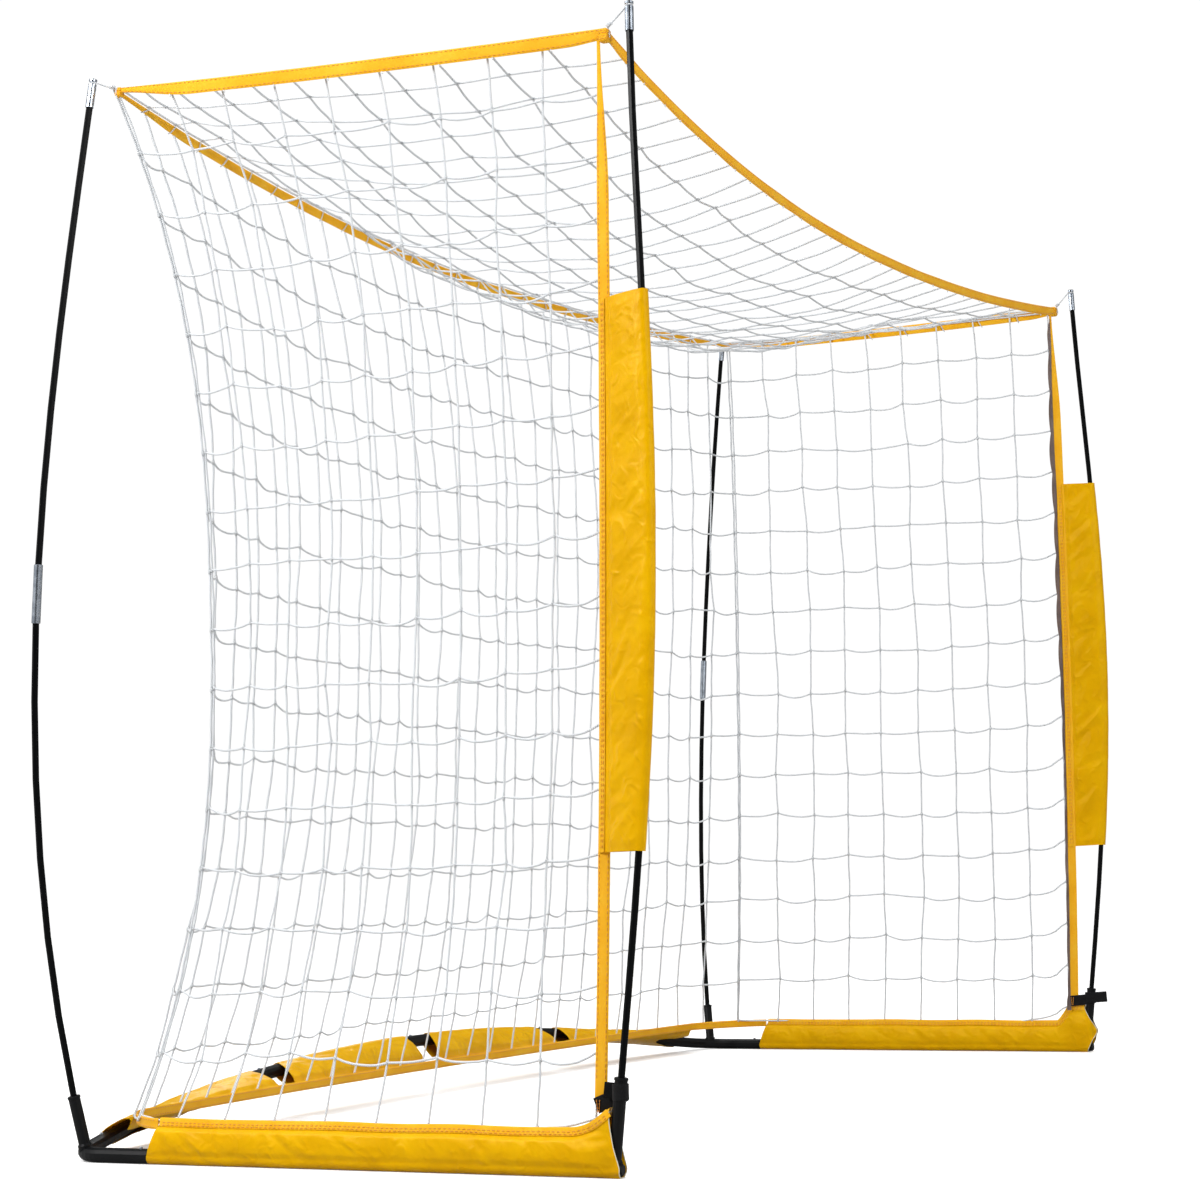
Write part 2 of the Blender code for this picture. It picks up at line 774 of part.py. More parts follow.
def upright_ribbon(name, centres, mat, width=BAND_WIDTH, thickness=BAND_T):
    """A band that stands on edge."""
    normals = [tangent.cross(UP).normalized() for tangent in tangents(centres)]
    return ribbon(name, centres, [UP] * len(centres), normals, width, thickness, mat)


def build_bands():
    """Crossbar, rear, side and front upright bands."""
    half = BAND_WIDTH / 2.0
    inset = BAND_T / 2.0 + CLEARANCE
    across, up, back = net_counts()
    stops = spread(-1.0, 1.0, across + 1)
    upright_ribbon("crossbar_band", [crossbar_line(s, inset, half) for s in stops], CLOTH)
    upright_ribbon("rear_band", [rear_line(s, inset, half) for s in stops], CLOTH)
    for side, tag in SIDES:
        line = [side_line(side, t, half) for t in spread(0.0, 1.0, back + 1)]
        line[0].y -= BAND_T / 2.0
        line[-1].y += BAND_T / 2.0
        upright_ribbon(f"side_band_{tag}", line, CLOTH)
        heights = front_rows()
        centres = [front_band_line(side, z) for z in [FRONT_BAND_FOOT_Z] + heights[1:]]
        widths = [Vector((0.0, 1.0, 0.0))] * len(centres)
        normals = [Vector((1.0, 0.0, 0.0))] * len(centres)
        ribbon(f"front_band_{tag}", centres, widths, normals, BAND_WIDTH, BAND_T, CLOTH)


# Hem and sleeves

def hem_top(s):
    """Height of the hem's upper edge behind the goal."""
    return SEAM_HEIGHT - HEM_DROP * (1.0 - s * s)


def hem_rear(s):
    """Centre of the hem band behind the goal, held off the rear tube by the sleeve's width."""
    tube = rear_run(s)
    z = hem_top(s) - HEM_WIDTH / 2.0
    rise = z - tube.z
    return Vector((tube.x, tube.y - math.sqrt(max(REAR_TAIL ** 2 - rise ** 2, 1e-6)), z))


def hem_corner(t):
    """Centre of the hem band round the left rear corner, t from 0 at the side to 1 at the rear run."""
    slant = SIDE_SLEEVE_SLANT * HEM_WIDTH / (SEAM_HEIGHT - TUBE_Z)
    y = side_sleeve_rear() + slant + CLEARANCE * 6.0
    start = Vector((-side_x(y), y, SEAM_HEIGHT - HEM_WIDTH / 2.0))
    end = hem_rear(-HEM_REAR_SPAN)
    lead = (hem_rear(-HEM_REAR_SPAN + 0.03) - end).normalized()
    reach = 0.20 * (end - start).length
    a = start + Vector((0.0, reach, 0.0))
    b = end - lead * reach
    k = 1.0 - t
    return start * k ** 3 + a * (3.0 * k * k * t) + b * (3.0 * k * t * t) + end * t ** 3


def side_sleeve_rear():
    """Where the upper seam of a side sleeve ends."""
    return FOOT_HALF_DEPTH - ELBOW_SIDE_LEG - SIDE_SLEEVE_SLANT


def hem_line():
    """Centres of the whole hem band."""
    left = [hem_corner(t) for t in spread(0.0, 1.0, 9)]
    right = [Vector((-p.x, p.y, p.z)) for p in reversed(left)]
    rear = [hem_rear(s) for s in spread(-HEM_REAR_SPAN, HEM_REAR_SPAN, 25)]
    return left[:-1] + rear + right[1:]


def sleeve(name, centres, tips, bore_r, wall, seam_t, mat, along=None, tab=0.0, pucker=0.0, waves=0.0):
    """A cloth sleeve: a round bore at each centre whose two layers run together to a seam at each tip.

    tab is the length of a free end on the far side; pucker swells the flat part in waves.
    """
    along = along or tangents(centres)
    outer_rows = []
    inner_rows = []
    inner_r = bore_r / math.cos(math.pi / 14)
    outer_r = inner_r + wall
    thin = seam_t / 2.0
    for k, (centre, tip, tangent) in enumerate(zip(centres, tips, along)):
        arm = tip - centre
        e1 = (arm - tangent * arm.dot(tangent)).normalized()
        e2 = tangent.cross(e1).normalized()
        opening = math.acos(min(outer_r / arm.length, 1.0))
        swing = pucker * math.sin(waves * k) if 0 < k < len(centres) - 1 else 0.0
        root = centre + e1 * outer_r * math.cos(opening)
        flat = []
        for share, wave in ((0.0, 0.0), (0.38, 1.0), (0.72, 0.5)):
            half = lerp(thin, outer_r * math.sin(opening), share ** 1.4)
            flat.append((lerp(tip, root, share) + e2 * (swing * wave), half))
        spokes = [opening * share for share in (0.12, 0.42, 0.72)]
        arc = spread(opening, 2.0 * math.pi - opening, 9)
        outer = [point + e2 * half for point, half in flat]
        for angle in arc:
            outer.append(centre + (e1 * math.cos(angle) + e2 * math.sin(angle)) * outer_r)
        outer += [point - e2 * half for point, half in reversed(flat)]
        if tab:
            outer[6] = centre - e1 * (outer_r + tab) + e2 * thin
            outer[8] = centre - e1 * (outer_r + tab) - e2 * thin
            outer[7] = lerp(outer[6], outer[8], 0.5)
        inner = []
        for angle in spokes + arc + [2.0 * math.pi - spoke for spoke in reversed(spokes)]:
            inner.append(centre + (e1 * math.cos(angle) + e2 * math.sin(angle)) * inner_r)
        outer_rows.append(outer)
        inner_rows.append(inner)
    return loft(name, outer_rows, mat, holes=inner_rows)


def seam_height(y):
    """Height of a side sleeve's seam, which flares up at the mouth of the goal."""
    start = -FOOT_HALF_DEPTH + SEAM_FLARE_RUN
    u = min(max((start - y) / SEAM_FLARE_RUN, 0.0), 1.0)
    return SEAM_HEIGHT + SEAM_FLARE * u * u


def build_side_sleeves():
    """Sleeves round the side tubes, slanted at the rear and open at the mouth."""
    rear_low = FOOT_HALF_DEPTH - ELBOW_SIDE_LEG - CLEARANCE * 2.0
    front_low = -FOOT_HALF_DEPTH + SOCKET_FLARE_R + SLEEVE_SOCKET_GAP
    front_high = -FOOT_HALF_DEPTH + SLEEVE_SOCKET_GAP
    lows = [rear_low, rear_low - 0.03] + spread(0.27, -0.34, 5) + [front_low + 0.06, front_low + 0.02, front_low]
    highs = [side_sleeve_rear(), side_sleeve_rear() - 0.02] + spread(0.26, -0.34, 5)
    highs += [front_high + 0.08, front_high + 0.03, front_high]
    for side, tag in SIDES:
        centres = [Vector((side * side_x(y), y, TUBE_Z)) for y in lows]
        tips = [Vector((side * side_x(y), y, seam_height(y))) for y in highs]
        bore = SIDE_TUBE_R + SLEEVE_PLAY
        wall = (ELBOW_TUBE_R - bore) / math.cos(math.pi / 14)
        piece = sleeve(f"side_sleeve_{tag}", centres, tips, bore, wall, SEAM_T, CLOTH,
                       pucker=HEM_PUCKER, waves=2.3)
        flatten_below(piece, side, bore / math.cos(math.pi / 14) + wall / 2.0)


def flatten_below(piece, side, middle_r):
    """Lay the lowest points of a side sleeve's outside on the ground; the inside keeps its round."""
    for vert in piece.data.vertices:
        from_axis = math.hypot(vert.co.x - side * side_x(vert.co.y), vert.co.z - TUBE_Z)
        if vert.co.z < CLOTH_T and from_axis > middle_r:
            vert.co.z = 0.0


def build_rear_sleeves():
    """Four sleeves on the rear run, with gaps at the tube joints."""
    marks = JOINT_MARKS
    half = REAR_GAP / 2.0
    for i in range(4):
        low = marks[i] + (CLEARANCE * 2.0 if i == 0 else half)
        high = marks[i + 1] - (CLEARANCE * 2.0 if i == 3 else half)
        slant_low = 0.020 if i == 0 else -REAR_GAP_SLANT
        slant_high = 0.020 if i == 3 else -REAR_GAP_SLANT
        centres = []
        tips = []
        directions = []
        for mark in [low] + BASE.between(low, high) + [high]:
            t = (mark - low) / (high - low)
            centres.append(BASE.at(mark))
            directions.append(BASE.along(mark))
            shifted = mark + slant_low * (1.0 - t) ** 2 - slant_high * t ** 2
            tube = BASE.at(shifted)
            hem = hem_rear(tube.x / REAR_HALF_WIDTH)
            away = BAND_T / 2.0 + CLEARANCE + SEAM_T * 0.5
            tips.append(Vector((tube.x, hem.y + away, hem.z)))
        bore = ELBOW_TUBE_R + SLEEVE_PLAY
        sleeve(f"rear_sleeve_{i + 1}", centres, tips, bore, CLOTH_T, SEAM_T, CLOTH,
               along=directions, pucker=HEM_PUCKER, waves=2.1)


def build_hem():
    """The band that the net's lower edge is sewn to."""
    upright_ribbon("hem_band", hem_line(), CLOTH, width=HEM_WIDTH)


def build_shields():
    """Flat cloth shields wrapped round the front poles and sewn to the upright bands."""
    for side, tag in SIDES:
        pole = POLES[f"front_{tag}"]
        centres = []
        tips = []
        for z in spread(SHIELD_BOTTOM, SHIELD_TOP, 9):
            centres.append(pole.point(z))
            edge = front_band_line(side, z)
            tips.append(edge - Vector((0.0, BAND_WIDTH / 2.0 + CLEARANCE, 0.0)))
        sleeve(f"pole_shield_{tag}", centres, tips, SHIELD_BORE_R, CLOTH_T, SEAM_T, CLOTH,
               pucker=SHIELD_PUCKER, waves=2.6)


def build_straps():
    """Hook-and-loop straps that hold the upright bands' feet to the front sockets."""
    for side, tag in SIDES:
        pole = POLES[f"front_{tag}"]
        centres = []
        tips = []
        for step in spread(0.0, 1.0, 3):
            height = STRAP_HEIGHT + STRAP_WIDTH * step
            centre = pole.foot + pole.axis * ((height - pole.foot.z) / pole.axis.z)
            foot = front_band_line(side, FRONT_BAND_FOOT_Z)
            centres.append(centre)
            tips.append(Vector((foot.x, foot.y + BAND_WIDTH / 2.0, height - STRAP_DROP)))
        bore = SOCKET_R + CLEARANCE * 1.5
        sleeve(f"closure_strap_{tag}", centres, tips, bore, STRAP_T, STRAP_T * 1.6, STRAP, tab=STRAP_TAB)


# Net panels

def corner_edge(side, t, low, high):
    """The net's rear corner edge, t from 0 at the hem to 1 at the top, pulled in between its ends."""
    pull = swell(2.0 * t - 1.0, CORNER_INSET_POWER)
    return lerp(low, high, t) + Vector((-side * CORNER_INSET_X * pull, -CORNER_INSET_Y * pull, 0.0))


def net_panel(name, columns, rows, low, high, left, right, sag=0.0):
    """A sheet of square mesh between four edge curves, as a Coons patch of cords.

    low and high run along u, left and right along v; each is a function of 0 to 1.
    """
    bm = bmesh.new()
    grid = []
    for j in range(rows + 1):
        v = j / rows
        line = []
        for i in range(columns + 1):
            u = i / columns
            blend = lerp(low(u), high(u), v) + lerp(left(v), right(v), u)
            flat = lerp(lerp(low(0.0), low(1.0), u), lerp(high(0.0), high(1.0), u), v)
            point = blend - flat
            point.z -= sag * swell(2.0 * u - 1.0, 2.0) * swell(2.0 * v - 1.0, 2.0)
            line.append(bm.verts.new(point))
        grid.append(line)
    for j in range(rows):
        for i in range(columns):
            bm.faces.new((grid[j][i], grid[j][i + 1], grid[j + 1][i + 1], grid[j + 1][i]))
    bm.normal_update()
    cells = list(bm.faces)
    bmesh.ops.inset_individual(bm, faces=cells, thickness=NET_CORD / 2.0, use_even_offset=True)
    bmesh.ops.delete(bm, geom=cells, context="FACES")
    obj = finish(name, bm, NET, smooth=False)
    thick = obj.modifiers.new("cord", "SOLIDIFY")
    thick.thickness = NET_CORD
    thick.offset = 0.0
    return obj


def corner_low(side):
    """Foot of the net's rear corner edge, on top of the hem."""
    low = hem_corner(HEM_CORNER_T)
    return Vector((-side * low.x, low.y, low.z + HEM_WIDTH / 2.0 + CLEARANCE))


def build_roof_net():
    """The roof panel, between the crossbar, the rear band and the side bands."""
    across, up, back = net_counts()
    gap = BAND_T / 2.0 + CLEARANCE + NET_LEAN
    middle = BAND_WIDTH / 2.0

    def front_line(u):
        return crossbar_line(2.0 * u - 1.0, gap, middle) + Vector((0.0, gap, 0.0))

    def back_line(u):
        return rear_line(2.0 * u - 1.0, gap, middle) - Vector((0.0, gap, 0.0))

    def side_edge(u):
        def line(t):
            point = lerp(front_line(u), back_line(u), t)
            point.z -= SIDE_BAND_SAG * swell(2.0 * t - 1.0, 2.0)
            return point
        return line

    net_panel("roof_net", across, back, front_line, back_line, side_edge(0.0), side_edge(1.0), ROOF_SAG)


def build_rear_net():
    """The rear panel, from the hem up to the rear band."""
    across, up, back = net_counts()
    edge = NET_CORD / 2.0 + CLEARANCE
    below = BAND_WIDTH + CLEARANCE * 3.0

    def low_line(u):
        start = HEM_CORNER_MARK
        point = HEM_PATH.at(lerp(start, HEM_PATH.length - start, u))
        pull = math.copysign(abs(2.0 * u - 1.0) ** 40 * edge, 2.0 * u - 1.0)
        return point + Vector((-pull, 0.0, HEM_WIDTH / 2.0 + CLEARANCE))

    def high_line(u):
        s = 2.0 * u - 1.0
        return rear_line(s, edge, below)

    def corner(side):
        def line(t):
            top = high_line(0.5 + side * 0.5)
            return corner_edge(side, t, corner_low(side), top) - Vector((side * edge * (1.0 - t), 0.0, 0.0))
        return line

    net_panel("rear_net", across, up, low_line, high_line, corner(-1.0), corner(1.0))


def build_side_net(side, tag):
    """A side panel, from the sleeve's seam and the hem up to the side band."""
    across, up, back = net_counts()
    edge = NET_CORD / 2.0 + CLEARANCE
    below = BAND_WIDTH + CLEARANCE * 3.0
    heights = front_rows()

    def front(t):
        z = lerp(heights[0], heights[-1], t)
        return front_edge(side, z) + Vector((0.0, BAND_WIDTH / 2.0 + CLEARANCE * 2.0, 0.0))

    def rear(t):
        top = side_line(side, 1.0, below)
        top.y -= edge
        return corner_edge(side, t, corner_low(side) - Vector((0.0, edge, 0.0)), top)

    def low_line(u):
        point = lerp(front(0.0), rear(0.0), u)
        fade = swell(2.0 * u - 1.0, 8.0)
        x = side_hem_x(side, point.y)
        z = seam_height(point.y) + CLEARANCE * 2.0
        return Vector((lerp(point.x, x, fade), point.y, lerp(point.z, z, fade)))

    def high_line(u):
        point = lerp(front(1.0), rear(1.0), u)
        point.z -= SIDE_BAND_SAG * swell(2.0 * u - 1.0, 2.0)
        return point

    net_panel(f"side_net_{tag}", back, up, low_line, high_line, front, rear)


def side_hem_x(side, y):
    """Where the side seam or the hem lies at a distance y from front to back."""
    if y <= hem_corner(0.0).y:
        return side * side_x(y)
    for t in spread(0.0, 1.0, 41):
        point = hem_corner(t)
        if point.y >= y:
            return -side * point.x
    return -side * hem_corner(1.0).x


def build_ties():
    """Short cords hooked round the neck of each pole tip and led to the net's corner."""
    for key, pole in POLES.items():
        corner = front_corner(pole.side) if pole.front else rear_corner(pole.side)
        full = (pole.tip - pole.tip_low).length
        neck = pole.tip_low + pole.tip_axis * (full - TIP_HEAD_LENGTH - TIP_NECK_LENGTH / 2.0)
        arm = corner - neck
        arm = (arm - pole.tip_axis * arm.dot(pole.tip_axis)).normalized()
        across = pole.tip_axis.cross(arm).normalized()
        turn_r = (TIP_NECK_R + CLEARANCE) / math.cos(math.pi / LATHE_SIDES) + TIE_R * 1.1
        points = []
        for angle in spread(-0.25 * math.pi, 1.0 * math.pi, 6):
            spoke = across * math.cos(angle) - arm * math.sin(angle)
            points.append(neck + spoke * turn_r)
        points.append(neck - across * turn_r + arm * (TIP_FERRULE_R + TIE_R + 0.0015))
        target = corner + Vector((0.0, 0.0, TIE_R * 0.35))
        last = (target - points[-1]).normalized()
        points.append(target - last * (TIE_R + CLEARANCE * 2.0))
        rod(f"tie_cord_{key}", points, TIE_R, NET)


def footprint_centre():
    """Middle of the finished goal from front to back."""
    depsgraph = bpy.context.evaluated_depsgraph_get()
    low = math.inf
    high = -math.inf
    for obj in bpy.data.objects:
        if obj.type not in {"MESH", "CURVE"} or obj.hide_render:
            continue
        shape = obj.evaluated_get(depsgraph)
        mesh = shape.to_mesh()
        for vert in mesh.vertices:
            y = (shape.matrix_world @ vert.co).y
            low = min(low, y)
            high = max(high, y)
        shape.to_mesh_clear()
    return (low + high) / 2.0


def clear_scene():
    """Remove whatever the file held."""
    for obj in list(bpy.data.objects):
        bpy.data.objects.remove(obj, do_unlink=True)


clear_scene()
ROOT = bpy.data.objects.new("goal_origin", None)
bpy.context.collection.objects.link(ROOT)

STEEL = material("black_coated_steel", (0.012, 0.013, 0.015), 0.42)
FIBREGLASS = material("black_fibreglass", (0.010, 0.010, 0.012), 0.38)
CHROME = material("bright_plated_steel", (0.62, 0.66, 0.70), 0.22, 1.0)
CLOTH = material("yellow_coated_cloth", (0.84, 0.45, 0.004), 0.48)
STRAP = material("black_hook_and_loop", (0.010, 0.010, 0.011), 0.85)
NET = material("white_net_cord", (0.72, 0.74, 0.76), 0.70)

SIDES = ((-1.0, "left"), (1.0, "right"))
HEM_PATH = Path(hem_line())
HEM_CORNER_MARK = HEM_PATH.marks[round(HEM_CORNER_T * 8)]

build_elbow("corner_elbow_left", True)
build_elbow("corner_elbow_right", False)
build_side_tube("side_tube_left", True)
build_side_tube("side_tube_right", False)
build_rear_tubes()
build_buttons()
for pole_key, pole_shape in POLES.items():
    build_socket(pole_key, pole_shape)
    build_pole(pole_key, pole_shape)
build_bands()
build_side_sleeves()
build_rear_sleeves()
build_hem()
build_shields()
build_straps()
build_roof_net()
build_rear_net()
for net_side, net_tag in SIDES:
    build_side_net(net_side, net_tag)
build_ties()
bpy.context.view_layer.update()
ROOT.location.y = -footprint_centre()
bpy.context.view_layer.update()
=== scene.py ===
"""Looks of the portable football goal: its cloth, net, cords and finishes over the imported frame.

Lengths are in metres, with +Z up. The mouth faces -Y and the goal stands on z = 0.
"""

import logging
import math
from dataclasses import dataclass
from functools import cached_property
from typing import Any, Callable, Sequence

import bpy
import numpy as np
from mathutils import Matrix, Vector


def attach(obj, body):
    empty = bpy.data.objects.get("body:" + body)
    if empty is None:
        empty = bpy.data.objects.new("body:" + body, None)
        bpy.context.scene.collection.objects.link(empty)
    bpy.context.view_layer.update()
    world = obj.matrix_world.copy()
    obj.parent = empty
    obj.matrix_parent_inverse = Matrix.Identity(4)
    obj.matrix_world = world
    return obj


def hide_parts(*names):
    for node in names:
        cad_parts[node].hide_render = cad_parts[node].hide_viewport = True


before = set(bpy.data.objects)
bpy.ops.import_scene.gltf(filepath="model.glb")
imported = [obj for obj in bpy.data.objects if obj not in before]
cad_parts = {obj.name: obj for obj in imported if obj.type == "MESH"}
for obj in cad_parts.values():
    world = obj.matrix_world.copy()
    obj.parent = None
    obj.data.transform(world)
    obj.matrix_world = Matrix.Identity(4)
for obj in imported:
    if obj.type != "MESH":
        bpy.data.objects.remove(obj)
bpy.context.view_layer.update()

LOG = logging.getLogger("goal")

Array = np.ndarray
Curve = Callable[[Array], Array]
Socket = bpy.types.NodeSocket
Colour = tuple[float, float, float, float]
MM = 0.001


# Nodes and colours


def linear(hex_colour: str) -> Colour:
    """Turn an sRGB hex colour, six digits after a hash sign, to linear RGBA."""
    parts = [int(hex_colour[i:i + 2], 16) / 255.0 for i in (1, 3, 5)]
    red, green, blue = (p / 12.92 if p <= 0.04045 else ((p + 0.055) / 1.055) ** 2.4 for p in parts)
    return red, green, blue, 1.0


def add_node(tree: bpy.types.NodeTree, kind: str, inputs: dict[Any, Any] | None = None,
             **settings: Any) -> bpy.types.Node:
    """Add one node to a tree.

    Args:
        tree: The tree to add to.
        kind: The node's type name, without "ShaderNode".
        inputs: Input socket, by name or number, to its constant or to the output that feeds it.
        settings: Properties of the node itself.

    Returns:
        The new node.
    """
    node = tree.nodes.new(f"ShaderNode{kind}")
    for key, value in settings.items():
        setattr(node, key, value)
    fill(tree, node, inputs or {})
    return node


def fill(tree: bpy.types.NodeTree, node: bpy.types.Node, inputs: dict[Any, Any]) -> None:
    """Give a node's inputs their constants, or the outputs that feed them."""
    for key, value in inputs.items():
        if isinstance(value, Socket):
            tree.links.new(value, node.inputs[key])
        else:
            node.inputs[key].default_value = value


def ramp(tree: bpy.types.NodeTree, share: Socket, *stops: tuple[float, str]) -> bpy.types.Node:
    """Add a colour ramp.

    Args:
        tree: The tree to add to.
        share: Output that runs along the ramp.
        stops: Place from 0 to 1 and sRGB hex colour: the two ends first, then any others.

    Returns:
        The ramp node.
    """
    node = add_node(tree, "ValToRGB", {"Fac": share})
    elements = node.color_ramp.elements
    for element, (place, colour) in zip(elements, stops):
        element.position = place
        element.color = linear(colour)
    for place, colour in stops[2:]:
        elements.new(place).color = linear(colour)
    return node


# Finishes


# The wave texture's bands lie this far apart at a scale of 1: a tenth of pi.
WAVE_PITCH = 0.31416


class Pattern:
    """The pattern nodes of one material, each given back as its output."""

    def __init__(self, tree: bpy.types.NodeTree) -> None:
        """Keep the material's tree."""
        self.tree = tree

    @cached_property
    def place(self) -> Socket:
        """The piece's own coordinates, in metres."""
        return add_node(self.tree, "TexCoord").outputs["Object"]

    @cached_property
    def flat(self) -> Socket:
        """The piece's map, along and across the cloth or round and along the cord."""
        return add_node(self.tree, "UVMap", uv_map="along").outputs["UV"]

    def noise(self, scale: float, detail: float, vector: Socket | None = None,
              inputs: dict[str, float] | None = None, **settings: Any) -> Socket:
        """Fractal noise over the piece's own coordinates, or over another vector."""
        sockets = {"Scale": scale, "Detail": detail, "Vector": self.place if vector is None else vector}
        return add_node(self.tree, "TexNoise", {**sockets, **(inputs or {})}, **settings).outputs["Fac"]

    def streaks(self, across: float, along: float) -> Socket:
        """Noise drawn out along Z, with so many streaks a metre across and along."""
        stretch = add_node(self.tree, "Mapping", {"Scale": (across, across, along), "Vector": self.place})
        return self.noise(1.0, 3.0, stretch.outputs["Vector"])

    def wave(self, pitch: float, direction: str) -> Socket:
        """Sine bands over the map, a pitch apart."""
        node = add_node(self.tree, "TexWave", {"Scale": WAVE_PITCH / pitch, "Vector": self.flat},
                        bands_direction=direction)
        return node.outputs["Fac"]

    def math(self, operation: str, *inputs: Any) -> Socket:
        """A sum on up to three inputs, each a number or an output."""
        return add_node(self.tree, "Math", dict(enumerate(inputs)), operation=operation).outputs["Value"]

    def spread(self, value: Socket, low: float, high: float) -> Socket:
        """Spread a share from 0 to 1 over a range."""
        return add_node(self.tree, "MapRange", {"To Min": low, "To Max": high, "Value": value}).outputs["Result"]

    def bump(self, height: Socket, strength: float, distance: float,
             inputs: dict[str, Any] | None = None, **settings: Any) -> Socket:
        """Tilt the surface by a height that is worth a distance."""
        sockets = {"Strength": strength, "Distance": distance, "Height": height, **(inputs or {})}
        return add_node(self.tree, "Bump", sockets, **settings).outputs["Normal"]

    def tone(self, share: Socket, *stops: tuple[float, str]) -> Socket:
        """Colour from a share, by a ramp's stops."""
        return ramp(self.tree, share, *stops).outputs["Color"]


@dataclass(frozen=True)
class Finish:
    """A surface finish: its name, the record's slot that it stands for, and its shader."""

    name: str
    slot: str

    def material(self) -> bpy.types.Material:
        """Make the material, or give it back if it is there."""
        found = bpy.data.materials.get(self.name)
        if found is not None:
            return found
        made = bpy.data.materials.new(self.name)
        made.use_nodes = True
        tree = made.node_tree
        fill(tree, tree.nodes["Principled BSDF"], self.sockets(Pattern(tree)))
        return made

    def sockets(self, pattern: Pattern) -> dict[str, Any]:
        """Work out what goes to the shader's sockets: constants, and outputs of the pattern's nodes."""
        raise NotImplementedError

    def dress(self, *names: str) -> None:
        """Give CAD nodes this finish."""
        for name in names:
            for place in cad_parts[name].material_slots:
                place.link = "OBJECT"
                place.material = self.material()


@dataclass(frozen=True)
class PowderCoat(Finish):
    """Black polyester powder coat on steel tube, sprayed and baked: satin, with a faint orange peel."""

    dark: str = "#050607"
    light: str = "#0C0D0F"
    peel_mm: float = 2.2

    def sockets(self, pattern: Pattern) -> dict[str, Any]:
        """Cloudy black, uneven satin gloss, and orange peel about 2 mm across and a few hundredths high."""
        cloud = pattern.noise(9.0, 4.0)
        scuff = pattern.noise(140.0, 6.0)
        peel = pattern.noise(1.0 / (self.peel_mm * MM), 1.0)
        return {
            "Base Color": pattern.tone(cloud, (0.35, self.dark), (0.7, self.light)),
            "Roughness": pattern.spread(scuff, 0.34, 0.54),
            "Normal": pattern.bump(peel, 0.25, 0.2 * MM),
            "IOR": 1.5,
            "Specular IOR Level": 0.18,
        }


@dataclass(frozen=True)
class PultrudedRod(Finish):
    """Black pultruded fibreglass rod: a resin-rich gloss skin over fine lengthwise glass streaks."""

    dark: str = "#040506"
    light: str = "#0A0B0D"

    def sockets(self, pattern: Pattern) -> dict[str, Any]:
        """Streaks a millimetre wide and a hand long, which lift the gloss and the colour a little."""
        streak = pattern.streaks(900.0, 9.0)
        return {
            "Base Color": pattern.tone(streak, (0.35, self.dark), (0.75, self.light)),
            "Roughness": pattern.spread(streak, 0.24, 0.40),
            "Normal": pattern.bump(streak, 0.2, 0.08 * MM),
            "IOR": 1.52,
            "Specular IOR Level": 0.07,
        }


@dataclass(frozen=True)
class ZincPlate(Finish):
    """Bright zinc plate on drawn steel: a cool mirror, drawn lengthwise and dulled by handling."""

    bright: str = "#B4BCC6"
    dull: str = "#8E96A1"

    def sockets(self, pattern: Pattern) -> dict[str, Any]:
        """Lengthwise draw marks in the gloss, and a few cloudy dull spots."""
        drawn = pattern.streaks(1100.0, 14.0)
        cloud = pattern.noise(85.0, 4.0)
        return {
            "Base Color": pattern.tone(cloud, (0.30, self.dull), (0.60, self.bright)),
            "Roughness": pattern.spread(drawn, 0.20, 0.34),
            "Normal": pattern.bump(drawn, 0.06, 0.05 * MM),
            "Metallic": 1.0,
        }


@dataclass(frozen=True)
class CoatedCloth(Finish):
    """Oxford-weave polyester with a waterproof coating: a soft plastic gloss over a fine weave.

    The weave shows as a faint grid up close, and the coating gives each crease a bright, narrow highlight.
    Real threads lie about 0.5 mm apart; they are drawn coarser so that they show.
    """

    colours: tuple[str, str, str] = ("#E0A400", "#EBAE00", "#F4B902")
    thread_mm: float = 1.3
    crease_mm: float = 24.0
    crease_depth_mm: float = 2.6
    gloss: tuple[float, float] = (0.26, 0.38)
    ribs_only: bool = False
    shine: str = "#FFDC78"
    through: float = 0.22

    def weave(self, pattern: Pattern) -> Socket:
        """Ribs along the cloth, or a plain weave as the product of two crossed waves about their middles."""
        warp = pattern.wave(self.thread_mm * MM, "X")
        if self.ribs_only:
            return warp
        weft = pattern.wave(self.thread_mm * MM, "Y")
        return pattern.math("MULTIPLY", pattern.math("SUBTRACT", warp, 0.5), pattern.math("SUBTRACT", weft, 0.5))

    def sockets(self, pattern: Pattern) -> dict[str, Any]:
        """Weave, sharp small creases, and dye that runs a little uneven.

        The coating is dyed through, so its shine is dim and takes on the cloth's colour. Thin cloth lets warm
        light through, so the inside of an open sleeve glows.
        """
        dye = pattern.noise(14.0, 5.0, inputs={"Roughness": 0.6})
        crease = pattern.noise(1.0 / (self.crease_mm * MM), 2.0, inputs={"Distortion": 0.8},
                               noise_type="RIDGED_MULTIFRACTAL")
        folds = pattern.bump(crease, 0.8, self.crease_depth_mm * MM)
        low, middle, high = self.colours
        return {
            "Base Color": pattern.tone(dye, (0.30, low), (0.72, high), (0.50, middle)),
            "Roughness": pattern.spread(dye, *self.gloss),
            "Normal": pattern.bump(self.weave(pattern), 0.45, 0.3 * MM, {"Normal": folds}),
            "IOR": 1.5,
            "Specular IOR Level": 0.26,
            "Specular Tint": linear(self.shine),
            "Subsurface Weight": self.through,
            "Subsurface Radius": (1.0, 0.75, 0.25),
            "Subsurface Scale": 4.0 * MM,
        }


